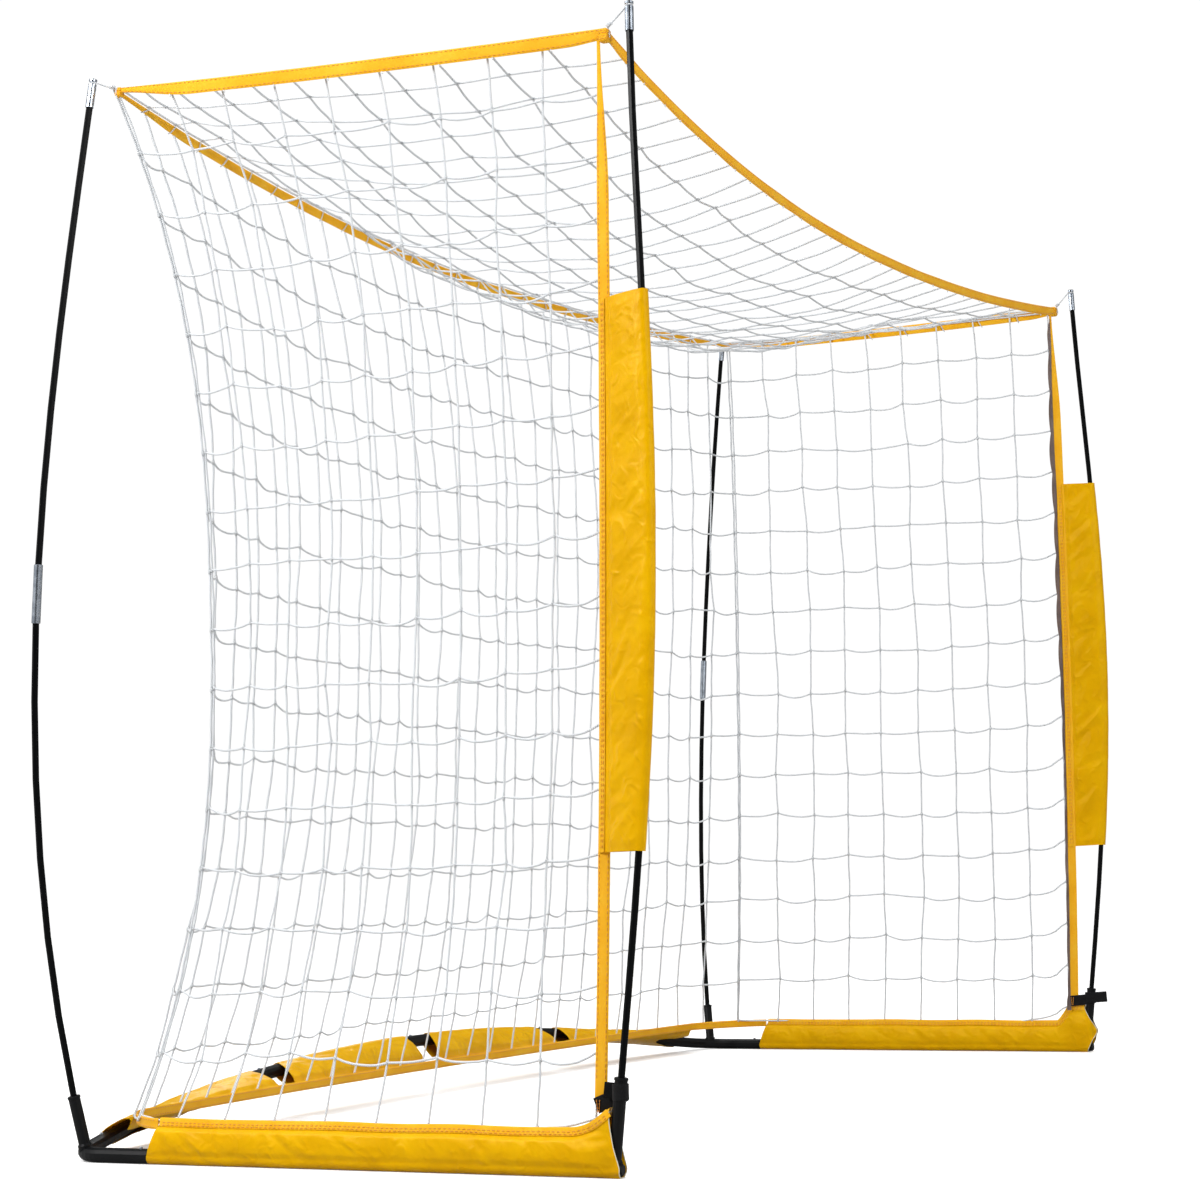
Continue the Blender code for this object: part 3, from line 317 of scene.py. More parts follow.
@dataclass(frozen=True)
class TwistedCord(Finish):
    """Twisted or braided fibre: strands that wind round the cord, pale on their crowns, with painted shade in the
    grooves between them.

    U of the map counts turns of the cord, so equal U follows a strand.
    """

    crown: str
    # The second colour is painted shade, drawn in the grooves between the strands.
    painted_groove_shade: str
    strands: int = 3
    rough: float = 0.62
    depth_mm: float = 0.30
    through: float = 0.0

    def sockets(self, pattern: Pattern) -> dict[str, Any]:
        """One wave per strand for the colour and the bump, fuzzed by fibre noise; the colour darkens into painted
        shade in the grooves between strands.

        Thin polyethylene lets light through, so a cord that is lit from above is pale underneath too.
        """
        strand = pattern.math("MULTIPLY", pattern.wave(1.0 / self.strands, "X"), 0.82)
        fuzz = pattern.math("MULTIPLY_ADD", pattern.noise(1500.0, 3.0), 0.18, strand)
        soil = pattern.noise(6.0, 3.0)
        return {
            # Painted shade: the colour darkens from the pale crowns into the grooves between strands.
            "Base Color": pattern.tone(fuzz, (0.12, self.painted_groove_shade), (0.55, self.crown)),
            "Roughness": pattern.spread(soil, self.rough - 0.1, self.rough + 0.12),
            "Normal": pattern.bump(fuzz, 0.8, self.depth_mm * MM),
            "IOR": 1.5,
            "Sheen Weight": 0.25,
            "Subsurface Weight": self.through,
            "Subsurface Radius": (1.0, 1.0, 1.0),
            "Subsurface Scale": 3.0 * MM,
        }


@dataclass(frozen=True)
class LoopPile(Finish):
    """Black woven hook-and-loop tape: a matt pile of loops that catches a soft grey edge light, with a painted
    highlight on each loop's top and painted shade between the loops.

    Real loops are about 0.4 mm across; they are drawn larger so that they show.
    """

    # light is a painted highlight on the loops' tops; dark is the black pile, with painted shade between the loops.
    dark: str = "#060607"
    light: str = "#17181B"
    loop_mm: float = 1.1

    def sockets(self, pattern: Pattern) -> dict[str, Any]:
        """Round loops from cells, whose middles stand up, with a painted highlight on their middles and painted shade
        between them, and patches of more or less gloss.
        """
        cells = add_node(pattern.tree, "TexVoronoi", {"Scale": 1.0 / (self.loop_mm * MM), "Vector": pattern.flat})
        loops = cells.outputs["Distance"]
        patch = pattern.noise(160.0, 4.0)
        return {
            # Painted highlight on the loops' middles, fading to painted shade between them.
            "Base Color": pattern.tone(loops, (0.05, self.light), (0.7, self.dark)),
            "Roughness": pattern.spread(patch, 0.70, 0.95),
            "Normal": pattern.bump(loops, 0.9, 0.4 * MM, invert=True),
            "Specular IOR Level": 0.2,
            "Sheen Weight": 0.08,
            "Sheen Roughness": 0.5,
        }


POWDER_COAT = PowderCoat("black_powder_coated_steel", "black_coated_steel")
ROD = PultrudedRod("black_pultruded_fibreglass", "black_fibreglass")
PLATE = ZincPlate("bright_zinc_plated_steel", "plated_steel")
CLOTH = CoatedCloth("yellow_coated_polyester", "coated_cloth")
TAPE = CoatedCloth("yellow_ribbed_polyester_tape", "coated_cloth", ("#F7B01C", "#FDB926", "#FFC436"),
                   thread_mm=1.1, crease_mm=12.0, crease_depth_mm=0.9, gloss=(0.42, 0.58), ribs_only=True)
CUT_EDGE = CoatedCloth("pale_cut_cloth_edge", "coated_cloth", ("#CFC6A8", "#E6DFC8", "#F3EFE2"),
                       thread_mm=0.9, crease_mm=5.0, crease_depth_mm=0.6, gloss=(0.60, 0.80), shine="#FFFFFF")
LINING = CoatedCloth("grey_brown_cloth_back", "coated_cloth", ("#5E5452", "#776B6A", "#8B7F7C"),
                     thread_mm=1.3, crease_mm=12.0, crease_depth_mm=0.8, gloss=(0.55, 0.75), shine="#FFFFFF")
# The darker second colour of each twisted cord is painted shade in the grooves between its strands.
THREAD = TwistedCord("orange_polyester_thread", "coated_cloth", "#F4A01C", "#CE8212", strands=2, rough=0.45,
                     depth_mm=0.15)
CORD = TwistedCord("white_braided_polyethylene_cord", "net_cord", "#F0F2F4", "#A3ABB2", through=0.5)
LOOP_TAPE = LoopPile("black_hook_and_loop_tape", "hook_and_loop")


# Whole-array geometry

# The CAD centres the goal's footprint on the origin, which moves every natural Y by this much.
FOOTPRINT_SHIFT = np.array([0.0, -0.01829, 0.0])
UP = np.array([0.0, 0.0, 1.0])
FULL_TURN = 2.0 * np.pi


def lerp(a: Any, b: Any, t: Any) -> Any:
    """Blend two numbers or arrays."""
    return a + (b - a) * t


def vec(x: Any, y: Any, z: Any) -> Array:
    """Stack three coordinates, each a number or an array, into points."""
    return np.stack(np.broadcast_arrays(x, y, z), axis=-1).astype(float)


def unit(v: Array) -> Array:
    """Scale vectors to a length of 1."""
    return v / np.maximum(np.linalg.norm(v, axis=-1, keepdims=True), 1e-12)


def shares(count: int) -> Array:
    """Even steps from 0 to 1."""
    return np.linspace(0.0, 1.0, count)


def swell(s: Any, power: float) -> Any:
    """Give a bulge that is 1 at 0 and falls to 0 at -1 and 1."""
    return 1.0 - np.abs(s) ** power


def hump(t: Any, power: float) -> Any:
    """Give a bulge that is 1 at a half and falls to 0 at 0 and 1."""
    return swell(2.0 * t - 1.0, power)


def ease(t: Any) -> Any:
    """Rise from 0 to 1 with level ends, and stay there outside them."""
    t = np.clip(t, 0.0, 1.0)
    return t * t * (3.0 - 2.0 * t)


def tangents(points: Array) -> Array:
    """Unit directions along rows of points, whose last two axes are station and coordinate."""
    return unit(np.gradient(points, axis=-2))


def spans(points: Array) -> Array:
    """Distance of each station from the first one along rows of points."""
    steps = np.linalg.norm(np.diff(points, axis=-2), axis=-1)
    start = np.zeros(steps.shape[:-1] + (1,))
    return np.concatenate((start, np.cumsum(steps, axis=-1)), axis=-1)


def sample(place: Any, marks: Array, points: Array) -> Array:
    """Points at places along a row of points with rising marks, straight between them."""
    return np.stack([np.interp(place, marks, points[:, k]) for k in range(3)], axis=-1)


def lattice(x: Array, y: Array, seed: int, lowest: float) -> tuple[Array, Array, Array, Array, Array, Array]:
    """Look up a seeded lattice of random heights.

    Args:
        x: First coordinate, in cells.
        y: Second coordinate, of the same shape.
        seed: Picks the heights.
        lowest: Least height; the greatest is 1.

    Returns:
        How far each point lies into its cell along x and y, and the heights of the cell's corners: near,
        next along x, next along y, and far.
    """
    heights = np.random.default_rng(seed).uniform(lowest, 1.0, (97, 89))
    column = np.floor(x).astype(int)
    row = np.floor(y).astype(int)
    i, j = column % 97, row % 89
    next_i, next_j = (column + 1) % 97, (row + 1) % 89
    return x - column, y - row, heights[i, j], heights[next_i, j], heights[i, next_j], heights[next_i, next_j]


def ripple(x: Array, y: Array, seed: int) -> Array:
    """Smooth random hills between -1 and 1, about one unit wide: lattice heights blended with level ends."""
    across, along, near, right, left, far = lattice(x, y, seed, -1.0)
    across = ease(across)
    return lerp(lerp(near, right, across), lerp(left, far, across), ease(along))


def facets(x: Array, y: Array, seed: int) -> Array:
    """Flat patches between 0 and 1 that meet in sharp folds: lattice cells split into flat triangles."""
    across, along, near, right, left, far = lattice(x, y, seed, 0.0)
    return np.where(across > along, near + across * (right - near) + along * (far - right),
                    near + across * (far - left) + along * (left - near))


def creases(x: Array, y: Array, seed: int) -> Array:
    """Folds of a stiff coated cloth, between 0 and 1: large and small flat patches on a bent lattice.

    Args:
        x: Distance along the folds over their length.
        y: Distance across the folds over their width.
        seed: Picks the folds.

    Returns:
        A height for each pair.
    """
    bent_x = x + 0.45 * ripple(x * 0.8, y * 0.8, seed + 7)
    bent_y = y + 0.45 * ripple(x * 0.8 + 5.0, y * 0.8, seed + 8)
    large = facets(bent_x, bent_y, seed)
    small = facets(bent_x * 1.9 + 0.6 * bent_y, bent_y * 1.7 - 0.5 * bent_x, seed + 3)
    return 0.62 * large + 0.22 * small + 0.16 * (0.5 + 0.5 * ripple(x * 0.6, y * 0.6, seed + 5))


class Line:
    """A polyline with the distance of each corner, which gives points for whole arrays of distances."""

    def __init__(self, points: Array) -> None:
        """Keep the corners and measure the distances between them."""
        self.points = points
        self.marks = spans(points)
        self.length = float(self.marks[-1])

    def at(self, distance: Any) -> Array:
        """Points at distances from the start, straight between corners."""
        return sample(distance, self.marks, self.points)

    def where(self, axis: int, value: float) -> float:
        """Distance at which a coordinate first passes a value."""
        gap = self.points[:, axis] - value
        i = int(np.argmax(gap[:-1] * gap[1:] <= 0.0))
        return float(lerp(self.marks[i], self.marks[i + 1], gap[i] / (gap[i] - gap[i + 1])))

    def heading(self, distance: Any, near: float = 0.012) -> Array:
        """Unit directions at distances from the start, averaged over a short way so that they turn smoothly."""
        distance = np.asarray(distance, dtype=float)
        return unit(self.at(distance + near) - self.at(distance - near))


@dataclass(frozen=True)
class Bow:
    """How a pole leans and bows away from its foot, along X and along Y, each counted outwards.

    lean is how far its top stands out. x and y are the bow's depths: even, skewed, and more at both ends.
    """

    lean: tuple[float, float]
    x: tuple[float, float, float]
    y: tuple[float, float, float]

    def offset(self, u: Array) -> tuple[Array, Array]:
        """How far the pole lies from its foot at shares u of its height."""
        v = 1.0 - 2.0 * u
        arch = 4.0 * u * (1.0 - u)
        return tuple(lean * u + arch * (even + skew * v + flat * v * v)
                     for lean, (even, skew, flat) in zip(self.lean, (self.x, self.y)))


FRONT_POLE = Bow((-0.049, 0.056), (0.0170, 0.0, 0.0), (0.0554, 0.0091, -0.0256))
REAR_POLE = Bow((0.0556, -0.0699), (0.0609, 0.0187, -0.0067), (0.0665, 0.0208, 0.0011))


@dataclass(frozen=True)
class Layout:
    """The goal's main lines, by the same formulas and sizes as the CAD.

    A side of -1 is left and 1 is right, for someone in front of the mouth.
    """

    tip_height: float = 1.850
    tip_length: float = 0.0502
    half_width: float = 1.295
    half_depth: float = 0.4965
    splay: float = 0.012
    corner_back: float = 0.007
    elbow_r: float = 0.0127
    tube_sides: int = 12
    side_tube_r: float = 0.0111
    bend_r: float = 0.055
    side_leg: float = 0.138
    rear_leg: float = 0.118
    overhang: float = 0.0155
    rear_bow: float = 0.110
    rear_lift: float = 0.097
    socket_r: float = 0.0102
    front_socket: float = 0.140
    crossbar_pull: float = 0.085
    crossbar_sag: float = 0.0616
    rear_pull: float = 0.106
    rear_sag: float = 0.040
    side_sag: float = 0.004
    band_width: float = 0.022
    seam_rise: float = 0.075
    seam_flare: float = 0.034
    flare_run: float = 0.075
    sleeve_slant: float = 0.026
    hem_width: float = 0.018
    hem_span: float = 0.88
    rear_tail: float = 0.070
    band_foot: tuple[float, float, float] = (1.285, -0.473, 0.1375)
    band_full: float = 0.0212
    band_top: float = 0.0060
    band_gather: float = 0.27

    @property
    def tube_z(self) -> float:
        """Height of the base tubes' axis, which rest on a flat of their sides."""
        return self.elbow_r * math.cos(math.pi / self.tube_sides)

    @property
    def rear_half(self) -> float:
        """Half the width between the rear corners."""
        return self.half_width + self.splay

    def side_x(self, y: Any) -> Any:
        """How far a side run lies from the middle, a little further towards the rear."""
        return self.half_width + self.splay * (y + self.half_depth) / (2.0 * self.half_depth + self.corner_back)

    def rear_run(self, s: Any) -> Array:
        """Rear run's centreline, s from -1 to 1: bowed back by a fourth power and arched off the ground."""
        lift = self.rear_lift * np.maximum(0.0, 1.0 - np.asarray(s) ** 2) ** 1.18
        back = self.half_depth + self.corner_back + self.rear_bow * swell(s, 4.0)
        return vec(self.rear_half * s, back, self.tube_z + lift)

    def base(self) -> Line:
        """Base centreline from the left front end to the right one.

        Each side is straight, each corner an arc blended from its two end arms by sines, and the rear
        follows rear_run, whose first point lies a little past the arc.
        """
        corner = self.rear_run(-1.0)
        inward = unit(self.rear_run(-0.955) - corner)
        front_y = -self.half_depth - self.overhang
        front = vec(-self.side_x(front_y), front_y, self.tube_z)
        forward = unit(front - corner)
        turn = math.pi - math.acos(float(np.dot(inward, forward)))
        setback = self.bend_r * math.tan(turn / 2.0)
        centre = corner + unit(forward + inward) * (self.bend_r / math.cos(turn / 2.0))
        first = corner + forward * setback - centre
        last = corner + inward * setback - centre
        t = shares(9)[:, None]
        bend = centre + (np.sin((1.0 - t) * turn) * first + np.sin(t * turn) * last) / math.sin(turn)
        rear = self.rear_run(np.linspace((setback + 0.012) / self.rear_half - 1.0, 0.0, 13))
        left = np.vstack((front[None], bend, rear))
        return Line(np.vstack((left, left[-2::-1] * (-1.0, 1.0, 1.0))))

    def pole_foot(self, side: float, front: bool) -> Array:
        """Where a pole's axis meets the base centreline."""
        if front:
            return vec(side * self.half_width, -self.half_depth, self.tube_z)
        return BASE.at(CORNER_MARK) * (-side, 1.0, 1.0)

    def pole(self, side: float, front: bool, z: Any) -> Array:
        """A pole's curve at heights z: a straight lean plus a bow of 4u(1-u) with skew terms."""
        foot = self.pole_foot(1.0, front)
        x, y = (FRONT_POLE if front else REAR_POLE).offset((z - foot[2]) / (self.tip_height - foot[2]))
        return vec(side * (foot[0] + x), foot[1] + (-y if front else y), z)

    def tip_frame(self, side: float, front: bool) -> tuple[Array, Array]:
        """A pole tip's lower end and its axis."""
        low = self.pole(side, front, self.tip_height - self.tip_length)
        return low, unit(self.pole(side, front, self.tip_height) - low)

    def front_corner(self, side: float) -> Array:
        """Top of the net's front corner."""
        tip = self.pole(1.0, True, self.tip_height)
        return vec(side * (tip[0] + 0.003), tip[1] + 0.041, tip[2] - 0.039)

    def rear_corner(self, side: float) -> Array:
        """Top of the net's rear corner."""
        tip = self.pole(1.0, False, self.tip_height)
        return vec(side * (tip[0] - 0.027), tip[1] - 0.029, tip[2] - 0.0145)

    def crossbar(self, s: Any, inset: float, drop: Any) -> Array:
        """The crossbar's line, s from -1 to 1, pulled back and sagging in the middle."""
        corner = self.front_corner(1.0)
        return vec((corner[0] - inset) * s, corner[1] + self.crossbar_pull * swell(s, 1.6),
                   corner[2] - drop - self.crossbar_sag * swell(s, 2.4))

    def rear_top(self, s: Any, inset: float, drop: Any) -> Array:
        """The rear top band's line, as for the crossbar."""
        corner = self.rear_corner(1.0)
        return vec((corner[0] - inset) * s, corner[1] + self.rear_pull * swell(s, 1.6),
                   corner[2] - drop - self.rear_sag * swell(s, 2.1))

    def side_top(self, side: float, t: Any, drop: Any) -> Array:
        """A side top band's line, t from 0 at the front to 1 at the rear, nearly straight."""
        t = np.asarray(t, dtype=float)
        point = lerp(self.front_corner(side), self.rear_corner(side), t[..., None])
        point[..., 2] -= drop + self.side_sag * hump(t, 2.0)
        return point

    def upright(self, side: float, z: Any) -> Array:
        """A front upright band's centreline at heights z, leaning forward towards its foot."""
        top = self.front_corner(side)
        foot = self.band_foot
        u = np.clip((z - foot[2]) / (top[2] - self.band_width - foot[2]), 0.0, 1.0)
        rise = 1.0 - (1.0 - u) ** 2.2
        return vec(side * lerp(foot[0], abs(top[0]), u), lerp(foot[1], top[1] + 0.0102, rise), z)

    def band_end(self, share: float) -> float:
        """Height of a place on a front upright band, a share of the top band's width under the corner."""
        return float(self.front_corner(1.0)[2] - self.band_width * share)

    def band_span(self, z: Any) -> Any:
        """Width of a front upright band at heights z: gathered narrow under the corner, full below."""
        return lerp(self.band_top, self.band_full, ease((self.band_end(0.6) - z) / self.band_gather))

    def band_edge(self, side: float, z: Any) -> Array:
        """Rear edge of a front upright band at heights z."""
        span = self.band_span(z)
        return self.upright(side, z) + vec(0.0, (self.band_full - span) * 0.25 + span / 2.0, 0.0)

    def seam_height(self, y: Any, side: float = -1.0) -> Any:
        """Height of a side sleeve's seam near the mouth: a slow rise on the left, a steep one on the right."""
        if side > 0.0:
            return self.seam_rise + (self.seam_flare + 0.005) * ease((-0.425 - y) / 0.040)
        u = np.clip((-self.half_depth + self.flare_run - y) / self.flare_run, 0.0, 1.0)
        return self.seam_rise + self.seam_flare * u ** 2.0

    def hem_rear(self, s: Any) -> Array:
        """Centre of the hem behind the goal, held off the rear tube by the sleeve's tail."""
        tube = self.rear_run(s)
        z = self.seam_rise - 0.006 * (1.0 - np.asarray(s) ** 2) - self.hem_width / 2.0
        gap = np.sqrt(np.maximum(self.rear_tail ** 2 - (z - tube[..., 2]) ** 2, 1e-6))
        return vec(tube[..., 0], tube[..., 1] - gap, z)

    def hem_corner(self, t: Any) -> Array:
        """Hem round the left rear corner as a cubic curve, t from 0 at the side to 1 at the rear run."""
        slant = self.sleeve_slant * self.hem_width / (self.seam_rise - self.tube_z)
        y = self.half_depth - self.side_leg - self.sleeve_slant + slant + 0.0018
        start = vec(-self.side_x(y), y, self.seam_rise - self.hem_width / 2.0)
        end = self.hem_rear(-self.hem_span)
        lead = unit(self.hem_rear(-self.hem_span + 0.03) - end)
        reach = 0.20 * float(np.linalg.norm(end - start))
        a = start + vec(0.0, reach, 0.0)
        b = end - lead * reach
        t = np.asarray(t, dtype=float)[..., None]
        k = 1.0 - t
        return start * k ** 3 + a * (3.0 * k * k * t) + b * (3.0 * k * t * t) + end * t ** 3

    def hem(self) -> Line:
        """The whole hem, from the left side sleeve round the back to the right one."""
        left = self.hem_corner(shares(33))
        rear = self.hem_rear(np.linspace(-self.hem_span, self.hem_span, 161))
        return Line(np.vstack((left[:-1], rear, left[-2::-1] * (-1.0, 1.0, 1.0))))


LAYOUT = Layout()
BASE = LAYOUT.base()
# Distance along the base to the middle of the left corner's arc.
CORNER_MARK = float(BASE.marks[5])
HEM = LAYOUT.hem()


class Shape:
    """Quads gathered from several surfaces, with a UV map in metres, before they become one mesh."""

    def __init__(self) -> None:
        """Start with nothing."""
        self.points: list[Array] = []
        self.faces: list[Array] = []
        self.uvs: list[Array] = []
        self.count = 0

    def add(self, points: Array, faces: Array, uvs: Array) -> None:
        """Add points, quads that number them from 0, and a UV for each corner of each quad."""
        self.points.append(points.reshape(-1, 3))
        self.faces.append(faces.reshape(-1, 4) + self.count)
        self.uvs.append(uvs.reshape(-1, 2))
        self.count += len(self.points[-1])

    @staticmethod
    def cap(columns: int) -> Array:
        """Quads that close an even ring: each pairs two points with the two that face them."""
        i = np.arange(columns // 2 - 1)
        return np.stack((i, columns - 1 - i, columns - 2 - i, i + 1), axis=-1)

    def rings(self, rings: Array, uv: Array | None = None, loop: bool = False) -> None:
        """Skin rows of closed rings, counted anticlockwise as seen from the far end.

        Place k of row j joins place k + 1 and the next row's two points. Flat caps close the two ends.

        Args:
            rings: Points by row, place in the ring and coordinate.
            uv: UVs by row and place, with one more of each; distances are used if it is None.
            loop: Whether the last row joins the first, as in a hollow wall, in place of caps.
        """
        rows, columns = rings.shape[:2]
        if uv is None:
            closed = np.concatenate((rings, rings[:, :1]), axis=1)
            down = spans(np.swapaxes(closed, 0, 1)).mean(axis=0)
            down = np.append(down, down[-1] + 0.001)
            around = spans(np.concatenate((closed, closed[:1]), axis=0))
            uv = np.stack(np.broadcast_arrays(down[:, None], around), axis=-1)
        r, c = np.meshgrid(np.arange(rows if loop else rows - 1), np.arange(columns), indexing="ij")
        far = (r + 1) % rows
        side = (c + 1) % columns
        faces = np.stack((r * columns + c, r * columns + side, far * columns + side, far * columns + c), axis=-1)
        corner = np.stack((uv[r, c], uv[r, c + 1], uv[r + 1, c + 1], uv[r + 1, c]), axis=-2)
        faces = faces.reshape(-1, 4)
        corner = corner.reshape(-1, 2)
        if not loop:
            start = self.cap(columns)
            end = start[:, ::-1]
            flat = uv[0, :columns]
            faces = np.vstack((faces, start, end + (rows - 1) * columns))
            corner = np.vstack((corner, flat[start].reshape(-1, 2), flat[end].reshape(-1, 2)))
        self.add(rings, faces, corner)

    def wall(self, outer: Array, inner: Array) -> None:
        """Skin a hollow wall: out along the outer rings, back along the inner ones, and closed at both rims."""
        around = spans(np.concatenate((outer, outer[:, :1]), axis=1))
        down = spans(np.swapaxes(outer, 0, 1)).mean(axis=0)
        down = np.concatenate((down, down[::-1], down[:1]))
        around = np.concatenate((around, around[::-1], around[:1]), axis=0)
        uv = np.stack(np.broadcast_arrays(down[:, None], around), axis=-1)
        self.rings(np.concatenate((outer, inner[::-1]), axis=0), uv, loop=True)

    def tubes(self, lines: Array, radius: Any, sides: int, reference: Array, twist: float = 0.012) -> None:
        """Skin many round cords at once.

        Each ring is the centre plus radius times a circle square to the cord. U is the distance over the
        twist plus the share of a turn, so that lines of equal U are helices; V is the share of a turn.

        Args:
            lines: Centrelines by cord, station and coordinate.
            radius: One radius, or one for each cord and station.
            sides: Even count of sides.
            reference: Direction, or one for each cord and station, that the cord never runs along.
            twist: Length of one turn of the cord's strands.
        """
        count, stations = lines.shape[:2]
        ahead = tangents(lines)
        first = unit(np.cross(ahead, np.broadcast_to(reference, lines.shape)))
        second = np.cross(ahead, first)
        angle = FULL_TURN * np.arange(sides) / sides
        spoke = first[:, :, None] * np.cos(angle)[:, None] + second[:, :, None] * np.sin(angle)[:, None]
        radius = np.broadcast_to(radius, (count, stations))[:, :, None, None]
        points = lines[:, :, None] + spoke * radius
        cord, j, k = np.meshgrid(np.arange(count), np.arange(stations - 1), np.arange(sides), indexing="ij")
        start = (cord * stations + j) * sides
        side = (k + 1) % sides
        faces = np.stack((start + k, start + side, start + sides + side, start + sides + k), axis=-1)
        down = spans(lines) / twist
        turn = np.arange(sides + 1) / sides
        a = down[:, :-1, None]
        b = down[:, 1:, None]
        grid = [(a, turn[:-1]), (a, turn[1:]), (b, turn[1:]), (b, turn[:-1])]
        corner = np.stack([np.stack(np.broadcast_arrays(u + v, v), axis=-1) for u, v in grid], axis=-2)
        heads = (np.arange(count) * stations * sides)[:, None, None]
        ends = heads + (stations - 1) * sides
        strip = self.cap(sides)
        caps = np.concatenate(((heads + strip).reshape(-1, 4), (ends + strip[:, ::-1]).reshape(-1, 4)))
        self.add(points, np.vstack((faces.reshape(-1, 4), caps)),
                 np.vstack((corner.reshape(-1, 2), np.zeros((caps.size, 2)))))

    def build(self, name: str, finish: Finish, *nodes: str, sharp: float = 40.0) -> bpy.types.Object:
        """Make the mesh and its object, which rides on the goal and stands for CAD nodes.

        Args:
            name: The piece's name.
            finish: Its finish.
            nodes: CAD nodes that it replaces.
            sharp: Angle in degrees above which an edge stays crisp.

        Returns:
            The new object.
        """
        points = np.concatenate(self.points) + FOOTPRINT_SHIFT
        faces = np.concatenate(self.faces)
        mesh = bpy.data.meshes.new(name)
        mesh.vertices.add(len(points))
        mesh.vertices.foreach_set("co", points.ravel())
        mesh.loops.add(faces.size)
        mesh.loops.foreach_set("vertex_index", faces.ravel().astype(np.int32))
        mesh.polygons.add(len(faces))
        mesh.polygons.foreach_set("loop_start", np.arange(0, faces.size, 4, dtype=np.int32))
        mesh.update(calc_edges=True)
        layer = mesh.uv_layers.new(name="along")
        layer.data.foreach_set("uv", np.concatenate(self.uvs).ravel())
        mesh.validate()
        mesh.shade_smooth()
        mesh.set_sharp_from_angle(angle=math.radians(sharp))
        mesh.materials.append(finish.material())
        piece = bpy.data.objects.new(name, mesh)
        bpy.context.collection.objects.link(piece)
        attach(piece, "goal")
        if nodes:
            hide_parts(*nodes)
        LOG.info("%s: %d triangles", name, 2 * len(faces))
        return piece


# Sewing


def stitch_run(shape: Shape, line: Array, outward: Array, stitch: float = 0.0056, gap: float = 0.0030,
               thread: float = 0.0007) -> None:
    """Lay a row of stitches along a line on a surface.

    Each stitch is a short cord that rises from the cloth, runs level and dips back, at an even pitch.

    Args:
        shape: The shape that gathers them.
        line: The seam's points, on the surface.
        outward: Surface directions at those points.
        stitch: Length of thread on top of the cloth.
        gap: Cloth between two stitches.
        thread: Radius of the thread.
    """
    marks = spans(line)
    count = int((marks[-1] - gap) / (stitch + gap))
    start = (np.arange(count) + 0.5) * (marks[-1] / count) - stitch / 2.0
    place = start[:, None] + stitch * np.array([0.0, 0.18, 0.82, 1.0])
    height = thread * np.array([-0.9, 0.55, 0.55, -0.9])
    lift = unit(sample(place, marks, outward))
    shape.tubes(sample(place, marks, line) + lift * height[None, :, None], thread, 4, lift, twist=0.003)


# Cloth sleeves


@dataclass(frozen=True)
class SleeveCut:
    """How a cloth sleeve is cut: a teardrop whose two layers meet in a sewn tail.

    bore is the inner radius round the tube, tail the width of the sewn part, tail_half half its
    thickness, puff how far the slack layers stand apart, and fold the depth of the creases, which lean
    by fold_lean degrees from the tube. snug is the share of all this that is left round the tube. The
    slack grows over ease_in past the tail and ebbs over ease_out before the tube, and end_run fades creases.
    """

    bore: float
    cloth: float = 0.0010
    tail: float = 0.013
    tail_half: float = 0.0013
    puff: float = 0.004
    fold: float = 0.003
    fold_length: float = 0.055
    fold_width: float = 0.024
    fold_lean: float = 32.0
    snug: float = 0.15
    ease_in: float = 0.014
    ease_out: float = 0.012
    end_run: float = 0.02
    seed: int = 1
    floor: bool = False
    half_steps: int = 34

    @property
    def radius(self) -> float:
        """Outer radius round the tube."""
        return self.bore + self.cloth


